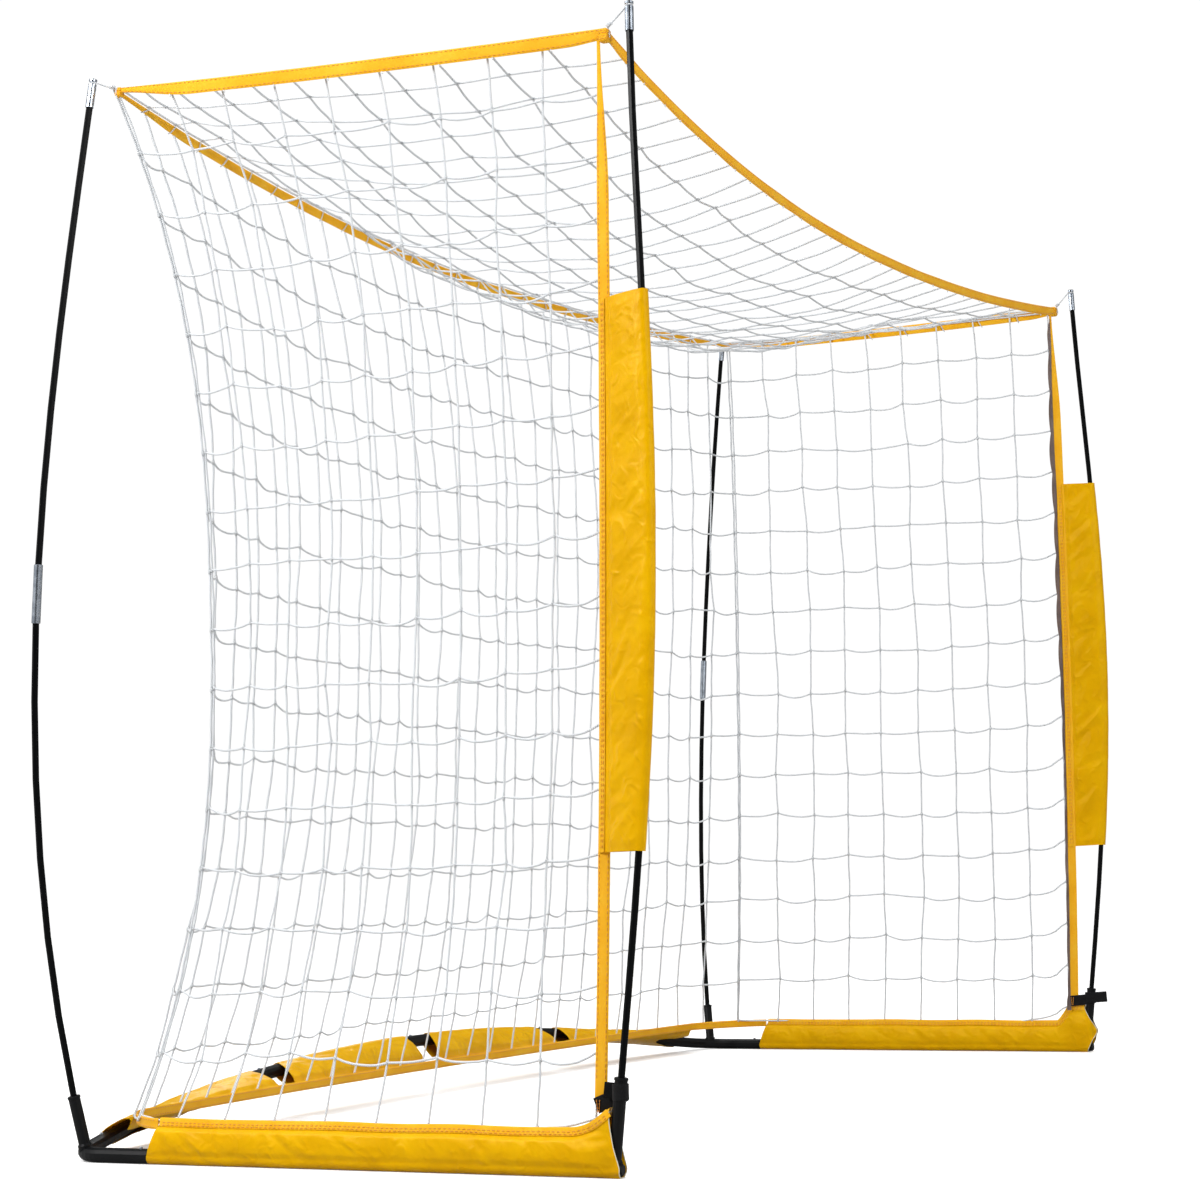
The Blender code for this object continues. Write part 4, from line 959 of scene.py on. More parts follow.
class Sleeve:
    """A sleeve over a row of stations, worked out as outer and inner rings of points."""

    def __init__(self, cut: SleeveCut, centres: Array, tips: Array, along: Array) -> None:
        """Fit the cut to centres on the tube, tips of the tail and directions along the tube."""
        self.cut = cut
        self.centres = centres
        arm = tips - centres
        arm = arm - along * np.sum(arm * along, axis=-1, keepdims=True)
        self.skew = tips - centres - arm
        self.reach = np.linalg.norm(arm, axis=-1)
        self.opening = np.arccos(np.clip(cut.radius / self.reach, 0.0, 1.0))
        self.flat = np.sqrt(self.reach ** 2 - cut.radius ** 2)
        self.e1 = unit(arm)
        self.e2 = np.cross(along, self.e1)
        self.down = spans(centres)
        self.outer = self.rings(0.0)
        self.inner = self.rings(cut.cloth)

    def outline(self, depth: Any, side: float, inset: float) -> tuple[Array, Array]:
        """Points of one layer at distances from the tail's tip, and their outward directions.

        The layer runs straight from the tip to where it touches the tube's circle and then round it. It is
        pushed outwards by a sine swell and creases, which fade at the tail and under the tube.

        Args:
            depth: Distance from the tip along the layer, by station and step.
            side: 1 for the layer on the side of e2 and -1 for the other.
            inset: How far inside the outer face.

        Returns:
            Points and directions by station and step.
        """
        cut = self.cut
        radius = cut.radius
        reach, opening, flat = self.reach[:, None], self.opening[:, None], self.flat[:, None]
        share = np.clip(depth / flat, 0.0, 1.0)
        angle = opening + np.maximum(depth - flat, 0.0) / radius
        bent = depth > flat
        nx = np.cos(angle)
        ny = np.sin(angle)
        x = np.where(bent, radius * nx, lerp(reach, radius * np.cos(opening), share))
        y = np.where(bent, radius * ny, radius * np.sin(opening) * share)
        push = self.push(depth, flat, share, side)
        push = np.where(bent, np.maximum(push, 0.0), push) - inset
        x = x + nx * push
        y = np.where(bent, y + ny * push, np.hypot(np.maximum(y + ny * push, 0.0), cut.tail_half - inset))
        points = (self.centres[:, None] + self.e1[:, None] * x[..., None] + self.e2[:, None] * (side * y)[..., None]
                  + self.skew[:, None] * np.clip(x / reach, 0.0, 1.0)[..., None])
        if cut.floor:
            points[..., 2] = np.maximum(points[..., 2], inset + 0.0001)
        return points, unit(self.e1[:, None] * nx[..., None] + self.e2[:, None] * (side * ny)[..., None])

    def push(self, depth: Array, flat: Array, share: Array, side: float) -> Array:
        """How far the swell and the creases push a layer out.

        Args:
            depth: Distance from the tip along the layer, by station and step.
            flat: The distance at which the layer meets the tube.
            share: depth over flat, at most 1.
            side: Which layer.

        Returns:
            A distance for each point.
        """
        cut = self.cut
        slack = ease((depth - cut.tail * 0.7) / cut.ease_in)
        slack = slack * lerp(cut.snug, 1.0, ease((flat * 1.05 - depth) / cut.ease_out))
        lift = cut.puff * np.sin(np.pi * share) ** 0.7
        lean = math.radians(cut.fold_lean) * side
        down = self.down[:, None] + 0.0 * depth
        fold = creases((down * math.cos(lean) + depth * math.sin(lean)) / cut.fold_length,
                       (depth * math.cos(lean) - down * math.sin(lean)) / cut.fold_width + 40.0,
                       cut.seed + (11 if side > 0 else 23))
        ends = ease(self.down / cut.end_run)[:, None] * ease((self.down[-1] - self.down) / cut.end_run)[:, None]
        return (lift + cut.fold * (fold - 0.25) * lerp(0.4, 1.0, ends)) * slack

    def depths(self, first: float) -> Array:
        """Distances from the tip, from a first one down to the far side of the tube."""
        full = self.flat + self.cut.radius * (math.pi - self.opening)
        return lerp(first, full[:, None], shares(self.cut.half_steps)[None, :])

    def rings(self, inset: float) -> Array:
        """Closed rings: down one layer to the far side of the tube and up the other."""
        depth = self.depths(self.cut.tail * 0.85 if inset else 0.0)
        one, other = (self.outline(depth, side, inset)[0] for side in (1.0, -1.0))
        return np.concatenate((one, other[:, -2::-1]), axis=1)

    def seam(self, depth: float, side: float) -> tuple[Array, Array]:
        """Points and directions of a line on a layer, at a distance from the tail's tip."""
        points, out = self.outline(np.full((len(self.reach), 1), depth), side, 0.0)
        return points[:, 0], out[:, 0]

    def bind(self, thread: Shape, width: float, seed: int, seams: tuple[float, ...], names: tuple[str, str],
             under: str, follow: Callable[[Array], None] | None = None) -> None:
        """Sew a tape over the tail on each of its two faces, from just past its tip.

        Args:
            thread: The shape that gathers the stitches.
            width: The tapes' width.
            seed: Picks their waves.
            seams: Shares of a tape's half width at which it is stitched.
            names: Names of the tape on the face at -1 and of the one at 1.
            under: Name of the sleeve, on which they rest. It is not used: Tape.build takes it as rests_on and ignores
                it.
            follow: Changes rows of points as the cloth under the tapes was changed.
        """
        thickness = 0.0011
        past_tip = 0.0010
        for face, name in zip((-1.0, 1.0), names):
            upper, out = self.seam(-past_tip, face)
            lower, _ = self.seam(width, face)
            if follow is not None:
                for row in (upper, lower):
                    follow(row[:, None])
            across = upper - lower
            cut = TapeCut(width, thickness, cup=0.0003, wave=0.0003, seed=seed + int(face))
            tape = Tape(cut, lerp(upper, lower, 0.5) + out * thickness, unit(across), out,
                        np.linalg.norm(across, axis=-1))
            tape.build(name, TAPE, rests_on=[under])
            tape.sew(thread, *seams)

    def girth(self) -> float:
        """Width of the flat cloth: both layers and the turn round the tube."""
        return float(2.0 * self.depths(0.0)[:, -1].mean())

    def build(self, name: str, finish: Finish, *nodes: str, rests_on: Sequence[str] = ()) -> bpy.types.Object:
        shape = Shape()
        shape.wall(self.outer, self.inner)
        piece = shape.build(name, finish, *nodes, sharp=55.0)
        self.girth()
        return piece


# Tapes


@dataclass(frozen=True)
class TapeCut:
    """A sewn tape: its width, thickness, how far its middle stands out, and how it waves."""

    width: float = 0.022
    thickness: float = 0.0017
    cup: float = 0.0008
    wave: float = 0.0012
    seed: int = 1
    steps: int = 8


class Tape:
    """A flat tape carried along a line, with one direction for its width and one for its outer face."""

    def __init__(self, cut: TapeCut, line: Array, across: Array, outward: Array, width: Any = None) -> None:
        """Square the directions to the line and keep the width at each station."""
        self.cut = cut
        self.line = line
        ahead = tangents(line)
        across = np.broadcast_to(across, line.shape)
        self.across = unit(across - ahead * np.sum(across * ahead, axis=-1, keepdims=True))
        out = np.cross(ahead, self.across)
        flip = np.sign(np.sum(out * np.broadcast_to(outward, line.shape), axis=-1, keepdims=True))
        self.out = out * np.where(flip == 0.0, 1.0, flip)
        self.handed = float(np.sign(np.sum(flip)))
        self.width = np.broadcast_to(cut.width if width is None else width, len(line))
        self.down = spans(line)

    def face(self, share: Any, side: float) -> Array:
        """Points on a face, at shares from -1 to 1 across the width; side 1 is the outer face."""
        cut = self.cut
        share = np.broadcast_to(np.asarray(share, dtype=float), (len(self.line),) + np.shape(share))
        half = self.width[:, None] / 2.0
        hill = ripple(self.down[:, None] / 0.09 + 0.0 * share, share * 0.7 + 3.0, cut.seed)
        bend = cut.cup * (1.0 - share ** 2) + cut.wave * hill * (0.4 + 0.6 * np.abs(share))
        round_off = np.sqrt(np.clip(swell(share, 14), 0.0, 1.0))
        height = bend + side * cut.thickness / 2.0 * round_off
        return (self.line[:, None] + self.across[:, None] * (half * share)[..., None]
                + self.out[:, None] * height[..., None])

    def skin(self, shape: Shape) -> None:
        """Add closed rings to a shape: over the outer face and back over the inner one."""
        share = -np.cos(np.linspace(0.0, np.pi, self.cut.steps + 1))
        rings = np.concatenate((self.face(share, 1.0), self.face(share[1:-1][::-1], -1.0)), axis=1)
        shape.rings(np.roll(rings[:, ::-1], 1, axis=1) if self.handed > 0.0 else rings)

    def sew(self, shape: Shape, *seams: float, side: float = 1.0, first: float = 0.004, last: float = 0.004) -> None:
        """Sew rows of stitches along a face, at shares of the half width, less a first and a last length."""
        keep = (self.down > first) & (self.down < self.down[-1] - last)
        for share in seams:
            row = self.face(np.array([share]), side)[:, 0]
            stitch_run(shape, row[keep], (self.out * side)[keep])

    def build(self, name: str, finish: Finish, *nodes: str, rests_on: Sequence[str] = ()) -> bpy.types.Object:
        shape = Shape()
        self.skin(shape)
        piece = shape.build(name, finish, *nodes, sharp=50.0)
        return piece


# Net


@dataclass(frozen=True)
class Mesh:
    """How the net is made: cord thickness, and how far its cords wander and droop."""

    cord: float = 0.0040
    sides: int = 6
    per_cell: int = 6
    droop: float = 0.0062
    wander: float = 0.007
    depth: float = 0.005
    shiver: float = 0.0007


@dataclass(frozen=True)
class Panel:
    """A panel of square mesh between four edge curves, each a function of shares from 0 to 1.

    low and high run along u, left and right along v. The surface between them is a Coons patch: the two
    blends of facing edges, less the blend of the four corners, less a sag that is a product of parabolas.
    slack is a fold that hangs close to the high edge and the right one, deepest where they meet. bunch is a
    power that crowds the rows towards the high edge. Rows and columns droop by shares of the mesh's own.
    """

    name: str
    nodes: tuple[str, ...]
    columns: int
    rows: int
    low: Curve
    high: Curve
    left: Curve
    right: Curve
    sag: float = 0.0
    seed: int = 1
    mesh: Mesh = Mesh()
    droop_rows: float = 1.0
    droop_columns: float = 0.0
    slack: float = 0.0
    bunch: float = 1.0

    def surface(self, u: Array, v: Array) -> Array:
        """Points of the patch at shares u and v of the same shape."""
        ends = np.array([0.0, 1.0])
        v = 1.0 - (1.0 - v) ** self.bunch
        across = u[..., None]
        up = v[..., None]
        low, high = self.low(ends), self.high(ends)
        corners = lerp(lerp(low[0], low[1], across), lerp(high[0], high[1], across), up)
        point = lerp(self.low(u), self.high(u), up) + lerp(self.left(v), self.right(v), across) - corners
        rise, fall = (swell(np.clip(2.0 * t - 1.0, 0.0, 1.0), 9.0) for t in (u, v))
        fold = np.maximum(v ** 3 * ease((u - 0.10) / 0.55), u ** 5 * ease((v - 0.30) / 0.6))
        point[..., 2] -= self.sag * hump(u, 2.0) * hump(v, 2.0)
        point[..., 2] -= self.slack * fold * rise * fall
        return point

    def offsets(self) -> Array:
        """How far each knot has wandered: seeded, smooth from knot to knot, and nothing at the edges."""
        i, j = np.meshgrid(np.arange(self.columns + 1), np.arange(self.rows + 1), indexing="ij")
        fade = ease(np.minimum(np.minimum(i, self.columns - i), np.minimum(j, self.rows - j)) / 1.2)
        parts = [ripple(i * 0.71 + 0.3, j * 0.67 + 0.2, self.seed * 5 + k) for k in range(3)]
        loose = np.random.default_rng(self.seed).normal(0.0, 0.35, (3,) + i.shape)
        size = np.array([self.mesh.wander, self.mesh.depth, self.mesh.wander])
        return np.stack(parts + loose, axis=-1) * size * fade[..., None]

    def cords(self, along_rows: bool) -> Array:
        """Centrelines of the cords in one direction.

        A cord passes its knots, hangs between two of them by a parabola of its own depth, and shivers by
        two sines.

        Args:
            along_rows: Whether they run along u, or else along v.

        Returns:
            Points by cord and station.
        """
        lines, cells = (self.rows, self.columns) if along_rows else (self.columns, self.rows)
        place = np.arange(cells * self.mesh.per_cell + 1) / self.mesh.per_cell
        line, station = np.meshgrid(np.arange(lines + 1), place, indexing="ij")
        u, v = (station / cells, line / lines) if along_rows else (line / lines, station / cells)
        knots = self.offsets()
        if along_rows:
            knots = np.swapaxes(knots, 0, 1)
        cell = np.minimum(np.floor(station).astype(int), cells - 1)
        part = station - cell
        point = self.surface(u, v) + lerp(knots[line, cell], knots[line, cell + 1], part[..., None])
        chance = np.random.default_rng(self.seed + (400 if along_rows else 500))
        depth = self.mesh.droop * (self.droop_rows if along_rows else self.droop_columns)
        hang = depth * chance.uniform(0.15, 1.65, (lines + 1, cells + 1))
        hang[[0, -1]] *= 0.25
        point[..., 2] -= 4.0 * part * (1.0 - part) * hang[line, cell]
        phase = chance.uniform(0.0, FULL_TURN, (3, lines + 1, 1))
        shake = np.sin(station * 7.1 + phase) * np.sin(station * 2.3 + phase[::-1])
        inner = ease(np.minimum(station, cells - station) * 2.0)
        return point + np.moveaxis(shake * inner, 0, -1) * self.mesh.shiver

    def facing(self) -> Array:
        """A direction roughly square to the whole panel."""
        point = self.surface(np.array([0.0, 1.0, 0.0, 1.0]), np.array([0.0, 0.0, 1.0, 1.0]))
        return unit(np.cross(point[1] - point[0] + point[3] - point[2], point[2] - point[0] + point[3] - point[1]))

    def build(self, finish: Finish) -> bpy.types.Object:
        """Make the cords and the thick places where they interlock."""
        shape = Shape()
        facing = self.facing()
        mesh = self.mesh
        radius = mesh.cord / 2.0
        across, up = self.cords(True), self.cords(False)
        for lines in (across, up):
            shape.tubes(lines, radius, mesh.sides, facing)
        crossing, ahead = (rows[:, ::mesh.per_cell].reshape(-1, 3) for rows in (up, tangents(up)))
        place = np.array([-2.6, -1.3, 0.0, 1.3, 2.6]) * radius
        girth = np.array([0.8, 1.35, 1.62, 1.35, 0.8]) * radius
        shape.tubes(crossing[:, None] + ahead[:, None] * place[:, None], girth, mesh.sides, facing)
        return shape.build(self.name, finish, *self.nodes, sharp=80.0)


# Sub-assemblies


SIDES = ((-1.0, "left"), (1.0, "right"))


@dataclass(frozen=True)
class HardParts:
    """Tubes, sockets, poles, ferrules, tips and snap buttons, whose CAD shapes stay."""

    steel: tuple[str, ...] = ("corner_elbow", "side_tube", "rear_tube", "socket")
    rods: tuple[str, ...] = ("lower_pole", "upper_pole")
    plated: tuple[str, ...] = ("mid_ferrule", "pole_tip", "side_button", "rear_button")

    def build(self) -> None:
        """Dress each group of nodes."""
        for finish, starts in ((POWDER_COAT, self.steel), (ROD, self.rods), (PLATE, self.plated)):
            names = [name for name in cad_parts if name.startswith(starts)]
            finish.dress(*names)
            LOG.info("%s: %d nodes", finish.name, len(names))


@dataclass(frozen=True)
class NetPanels:
    """Roof, rear and side panels of 100 mm square mesh.

    gap, behind and edge keep a panel clear of the bands, and tucked and hung set how far below a band's top
    it ends. corner_inset pulls the rear corners in, and dip lets an edge hang between its ends. Under its
    foot a side band is carried on at the slope that it has up to slope_top. corner_share is how far round
    the hem's corner the rear corner edges end.
    """

    across: int = 27
    up: int = 17
    back: int = 9
    roof_rows: int = 11
    gap: float = 0.0046
    corner_inset: tuple[float, float] = (0.140, 0.075)
    roof_sag: float = 0.075
    tucked: float = -0.0005
    hung: float = 0.004
    behind: float = 0.0046
    edge: float = 0.0018
    dip: float = 0.004
    slope_top: float = 0.31
    corner_share: float = 0.375

    def corner_low(self, side: float) -> Array:
        """Foot of the rear corner edge, on the hem."""
        low = LAYOUT.hem_corner(self.corner_share)
        return vec(-side * low[0], low[1], low[2] + LAYOUT.hem_width / 2.0 + 0.0003)

    def corner_edge(self, side: float, v: Array, low: Array, high: Array) -> Array:
        """Rear corner edge, pulled in between its ends by a power of 2.5."""
        pull = hump(v, 2.5)
        return lerp(low, high, v[..., None]) + vec(-side * self.corner_inset[0] * pull,
                                                   -self.corner_inset[1] * pull, 0.0)

    def roof(self) -> Panel:
        """Roof panel, inside the crossbar, the rear band and the side bands."""
        middle = LAYOUT.band_width / 2.0

        def front(u: Array) -> Array:
            """Front edge, behind the crossbar band."""
            return LAYOUT.crossbar(2.0 * u - 1.0, self.gap, middle) + vec(0.0, self.gap, 0.0)

        def back(u: Array) -> Array:
            """Rear edge, in front of the rear band."""
            return LAYOUT.rear_top(2.0 * u - 1.0, self.gap, self.tucked) - vec(0.0, self.gap, 0.0)

        def edge(u: float) -> Curve:
            """Side edge at a share of the width."""
            def line(v: Array) -> Array:
                """Points from the front to the back, hanging a little between them."""
                place = np.full(1, u)
                point = lerp(front(place), back(place), v[..., None])
                point[..., 2] -= self.dip * hump(v, 2.0)
                return point
            return line

        return Panel("net_roof", ("roof_net",), self.across, self.roof_rows, front, back, edge(0.0), edge(1.0),
                     self.roof_sag, 3, droop_rows=0.35, droop_columns=0.15, slack=0.080, bunch=1.3)

    def rear(self) -> Panel:
        """Rear panel, from the hem up to the rear band."""
        first = HEM.marks[12]

        def low(u: Array) -> Array:
            """Foot, along the back of the hem."""
            mark = lerp(first, HEM.length - first, u)
            behind = -0.0034 * np.cross(HEM.heading(mark), UP)
            return HEM.at(mark) + behind + vec(0.0, 0.0, LAYOUT.hem_width / 2.0 - 0.0045)

        def high(u: Array) -> Array:
            """Top, behind the rear band."""
            return LAYOUT.rear_top(2.0 * u - 1.0, self.edge, self.hung) + vec(0.0, self.behind, 0.0)

        def corner(side: float) -> Curve:
            """Corner edge on one side."""
            def line(v: Array) -> Array:
                """Points from the foot up."""
                end = np.full(1, 0.5 + side * 0.5)
                return self.corner_edge(side, v, low(end)[0], high(end)[0])
            return line

        return Panel("net_rear", ("rear_net",), self.across, self.up, low, high, corner(-1.0), corner(1.0),
                     0.0, 5)

    def side(self, side: float, tag: str) -> Panel:
        """Side panel, from the sleeve's seam up to the side band."""
        band_foot = LAYOUT.band_foot
        foot = LAYOUT.seam_height(band_foot[1], side) - 0.004
        top_z = LAYOUT.front_corner(1.0)[2] - self.hung

        def front(v: Array) -> Array:
            """Front edge, along the upright band and on below its foot."""
            z = lerp(foot, top_z, v)
            above = LAYOUT.band_edge(side, np.maximum(z, band_foot[2]))
            slope = LAYOUT.upright(side, band_foot[2]) - LAYOUT.upright(side, self.slope_top)
            under = np.maximum(band_foot[2] - z, 0.0) / (self.slope_top - band_foot[2])
            tuck = vec(0.0050, -0.0005, 0.0) if side < 0.0 else vec(-0.0012, 0.0030, 0.0)
            return above + slope * under[..., None] + tuck

        def rear(v: Array) -> Array:
            """Rear edge, beside the rear panel's corner."""
            inwards = vec(0.0, self.edge, 0.0)
            top = LAYOUT.side_top(side, np.ones(1), self.hung)[0] - inwards
            return self.corner_edge(side, v, self.corner_low(side) - inwards, top)

        def low(u: Array) -> Array:
            """Foot, along the sleeve's seam and round the hem's corner."""
            point = lerp(front(np.zeros(1)), rear(np.zeros(1)), u[..., None])
            corner = LAYOUT.hem_corner(shares(81))
            hem_x = np.interp(point[..., 1], corner[:, 1], -corner[:, 0])
            x = np.where(point[..., 1] <= corner[0, 1], LAYOUT.side_x(point[..., 1]), hem_x)
            fade = hump(u, 8.0)
            z = LAYOUT.seam_height(point[..., 1], side) - 0.0035
            return vec(lerp(point[..., 0], side * x, fade), point[..., 1], lerp(point[..., 2], z, fade))

        def high(u: Array) -> Array:
            """Top, inside the side band."""
            point = lerp(front(np.ones(1)), rear(np.ones(1)), u[..., None])
            point[..., 0] -= side * self.behind * hump(u, 8.0)
            point[..., 2] -= self.dip * hump(u, 2.0)
            return point

        return Panel(f"net_side_{tag}", (f"side_net_{tag}",), self.back, self.up, low, high, front, rear,
                     0.0, 8 if side < 0.0 else 13)

    def build(self) -> None:
        """Make the four panels."""
        for panel in [self.roof(), self.rear()] + [self.side(side, tag) for side, tag in SIDES]:
            panel.build(CORD)


def gathered(width: float, down: Array, first: tuple[float, float], last: tuple[float, float]) -> Array:
    """Width of a tape that is gathered at its ends.

    Args:
        width: Full width.
        down: Distance of each station from the start.
        first: Share of the width left at the start, and the length over which the tape eases out to full.
        last: The same for the end.

    Returns:
        A width for each station.
    """
    start = lerp(first[0], 1.0, ease(down / first[1]))
    return width * start * lerp(last[0], 1.0, ease((down[-1] - down) / last[1]))


@dataclass(frozen=True)
class TopBands:
    """Crossbar, rear and side bands, gathered at the corners, with two rows of stitches and the net's lashing."""

    width: float = 0.0215
    side_width: float = 0.0240
    rear_width: float = 0.0195
    inset: float = 0.0011
    seam_share: float = 0.72
    lash_radius: float = 0.0013
    lash_span: tuple[float, float] = (-1.30, 0.90)
    lash_lean: tuple[float, float] = (0.003, 0.010)
    front_gather: tuple[float, float] = (0.78, 0.07)
    rear_gather: tuple[float, float] = (0.42, 0.26)
    side_gather: tuple[float, float] = (0.38, 0.15)

    def lash(self, shape: Shape, tape: Tape, count: int) -> None:
        """Lash the net's cords to a tape's inner face.

        Each lashing starts under the lower edge and crosses the inner face on a slant, up to just below the
        upper edge.

        Args:
            shape: The shape that gathers the lashings.
            tape: The tape.
            count: How many cells of the net lie along it.
        """
        cut = tape.cut
        share = np.linspace(*self.lash_span, 9)
        middle = np.arange(1, count) / count * tape.down[-1]
        chance = np.random.default_rng(cut.seed + 60)
        lean = chance.uniform(*self.lash_lean, count - 1)
        lean = lean * np.where(chance.uniform(size=count - 1) < 0.8, 1.0, -0.7)
        place = middle[:, None] + lean[:, None] * share[None, :]
        base, across, out = (sample(place, tape.down, rows) for rows in (tape.line, tape.across, tape.out))
        half = np.interp(place, tape.down, tape.width) / 2.0
        over = cut.thickness / 2.0 + self.lash_radius * 1.6 - cut.cup * 0.5
        height = np.where(np.abs(share) > 1.02, -0.2, 1.0) * over
        points = base + across * (share * half)[..., None] - out * height[None, :, None]
        shape.tubes(points, self.lash_radius, 6, unit(tangents(tape.line).mean(axis=0)))

    def tape(self, seed: int, line: Array, outward: Array, width: float, first: tuple[float, float],
             last: tuple[float, float]) -> Tape:
        """Cut one tape, whose upper edge stays on its line where it is gathered.

        Args:
            seed: Picks its waves.
            line: Its middle where it is at full width.
            outward: The way that its outer face looks.
            width: Its full width.
            first: As for gathered.
            last: As for gathered.

        Returns:
            The tape.
        """
        widths = gathered(width, spans(line), first, last)
        return Tape(TapeCut(width, seed=seed), line + UP * ((width - widths) / 2.0)[:, None], UP, outward, widths)

    def build(self) -> None:
        """Make the four tapes, their stitches and their lashings."""
        half = LAYOUT.band_width / 2.0
        s = np.linspace(-1.0, 1.0, 221)
        tapes = {
            "crossbar_band": self.tape(21, LAYOUT.crossbar(s, self.inset, half), vec(0, -1, 0), self.width,
                                       self.front_gather, self.front_gather),
            "rear_band": self.tape(22, LAYOUT.rear_top(s, self.inset, half), vec(0, 1, 0),
                                   self.rear_width, self.rear_gather, self.rear_gather),
        }
        for side, tag in SIDES:
            line = LAYOUT.side_top(side, shares(91), half)
            tapes[f"side_band_{tag}"] = self.tape(24 + int(side), line, vec(side, 0, 0), self.side_width,
                                                  self.front_gather, self.side_gather)
        lashing, thread = Shape(), Shape()
        for name, tape in tapes.items():
            tape.build(f"tape_{name}", TAPE, name, rests_on=[name])
            tape.sew(thread, -self.seam_share, self.seam_share)
            self.lash(lashing, tape, NetPanels.back if name.startswith("side") else NetPanels.across)
        thread.build("stitches_top_bands", THREAD)
        lashing.build("net_lashings", CORD, sharp=80.0)


@dataclass(frozen=True)
class CornerTabs:
    """Folded cloth tabs that bind the bands at the net's four top corners, box-stitched through.

    half has a tab's half sizes, of which a rear one has rear_share. front_place and rear_place say how far
    inwards, back and up from the net's corner its middle lies.
    """

    half: tuple[float, float, float] = (0.0090, 0.0082, 0.0112)
    rear_share: float = 0.74
    front_place: tuple[float, float, float] = (0.0035, 0.0045, -0.0105)
    rear_place: tuple[float, float, float] = (0.0035, -0.0035, -0.0065)
    steps: int = 64
    rows: int = 25
    stitched: tuple[float, ...] = (-0.62, -0.22, 0.22, 0.62)

    def rings(self, centre: Array, size: float, seed: float) -> Array:
        """Rings of one tab from its foot up.

        Each is a squared oval of the eighth power. It is rounded off at both ends by an eighth power and
        drawn in at the waist by a bell curve, and three and seven sine folds wind round it.

        Args:
            centre: The tab's middle.
            size: Its size, as a share of half.
            seed: Turns its folds.

        Returns:
            Points by ring and place.
        """
        angle = FULL_TURN * np.arange(self.steps) / self.steps
        t = np.sin(np.linspace(-0.5, 0.5, self.rows) * np.pi)[:, None]
        oval = (np.cos(angle) ** 8 + np.sin(angle) ** 8) ** -0.125
        girth = (0.55 + 0.45 * (1.0 - np.abs(t) ** 8)) * (1.0 - 0.10 * np.exp(-(t / 0.22) ** 2))
        folds = 1.0 + 0.07 * np.sin(3.0 * angle + 2.6 * t + seed) + 0.04 * np.sin(7.0 * angle - 4.1 * t + 2.0 * seed)
        radius = oval * girth * folds
        return centre + size * vec(self.half[0] * radius * np.cos(angle), self.half[1] * radius * np.sin(angle),
                                   self.half[2] * t)

    def build(self) -> None:
        """Make the four tabs and their stitches."""
        tabs, thread = Shape(), Shape()
        for side, _ in SIDES:
            tops = ((LAYOUT.front_corner(side), self.front_place, 1.0),
                    (LAYOUT.rear_corner(side), self.rear_place, self.rear_share))
            for number, (corner, (inwards, back, up), size) in enumerate(tops):
                centre = corner + vec(-side * inwards, back, up)
                rings = self.rings(centre, size, 1.3 * number + side)
                tabs.rings(rings)
                heights = (rings[:, 0, 2] - centre[2]) / (self.half[2] * size)
                for place in self.stitched:
                    row = rings[int(np.argmin(np.abs(heights - place)))]
                    row = np.vstack((row, row[:1]))
                    stitch_run(thread, row, unit((row - centre) * (1.0, 1.0, 0.0)), 0.0036, 0.0013, 0.0006)
        tabs.build("corner_tabs", TAPE, sharp=60.0)
        thread.build("stitches_corner_tabs", THREAD)


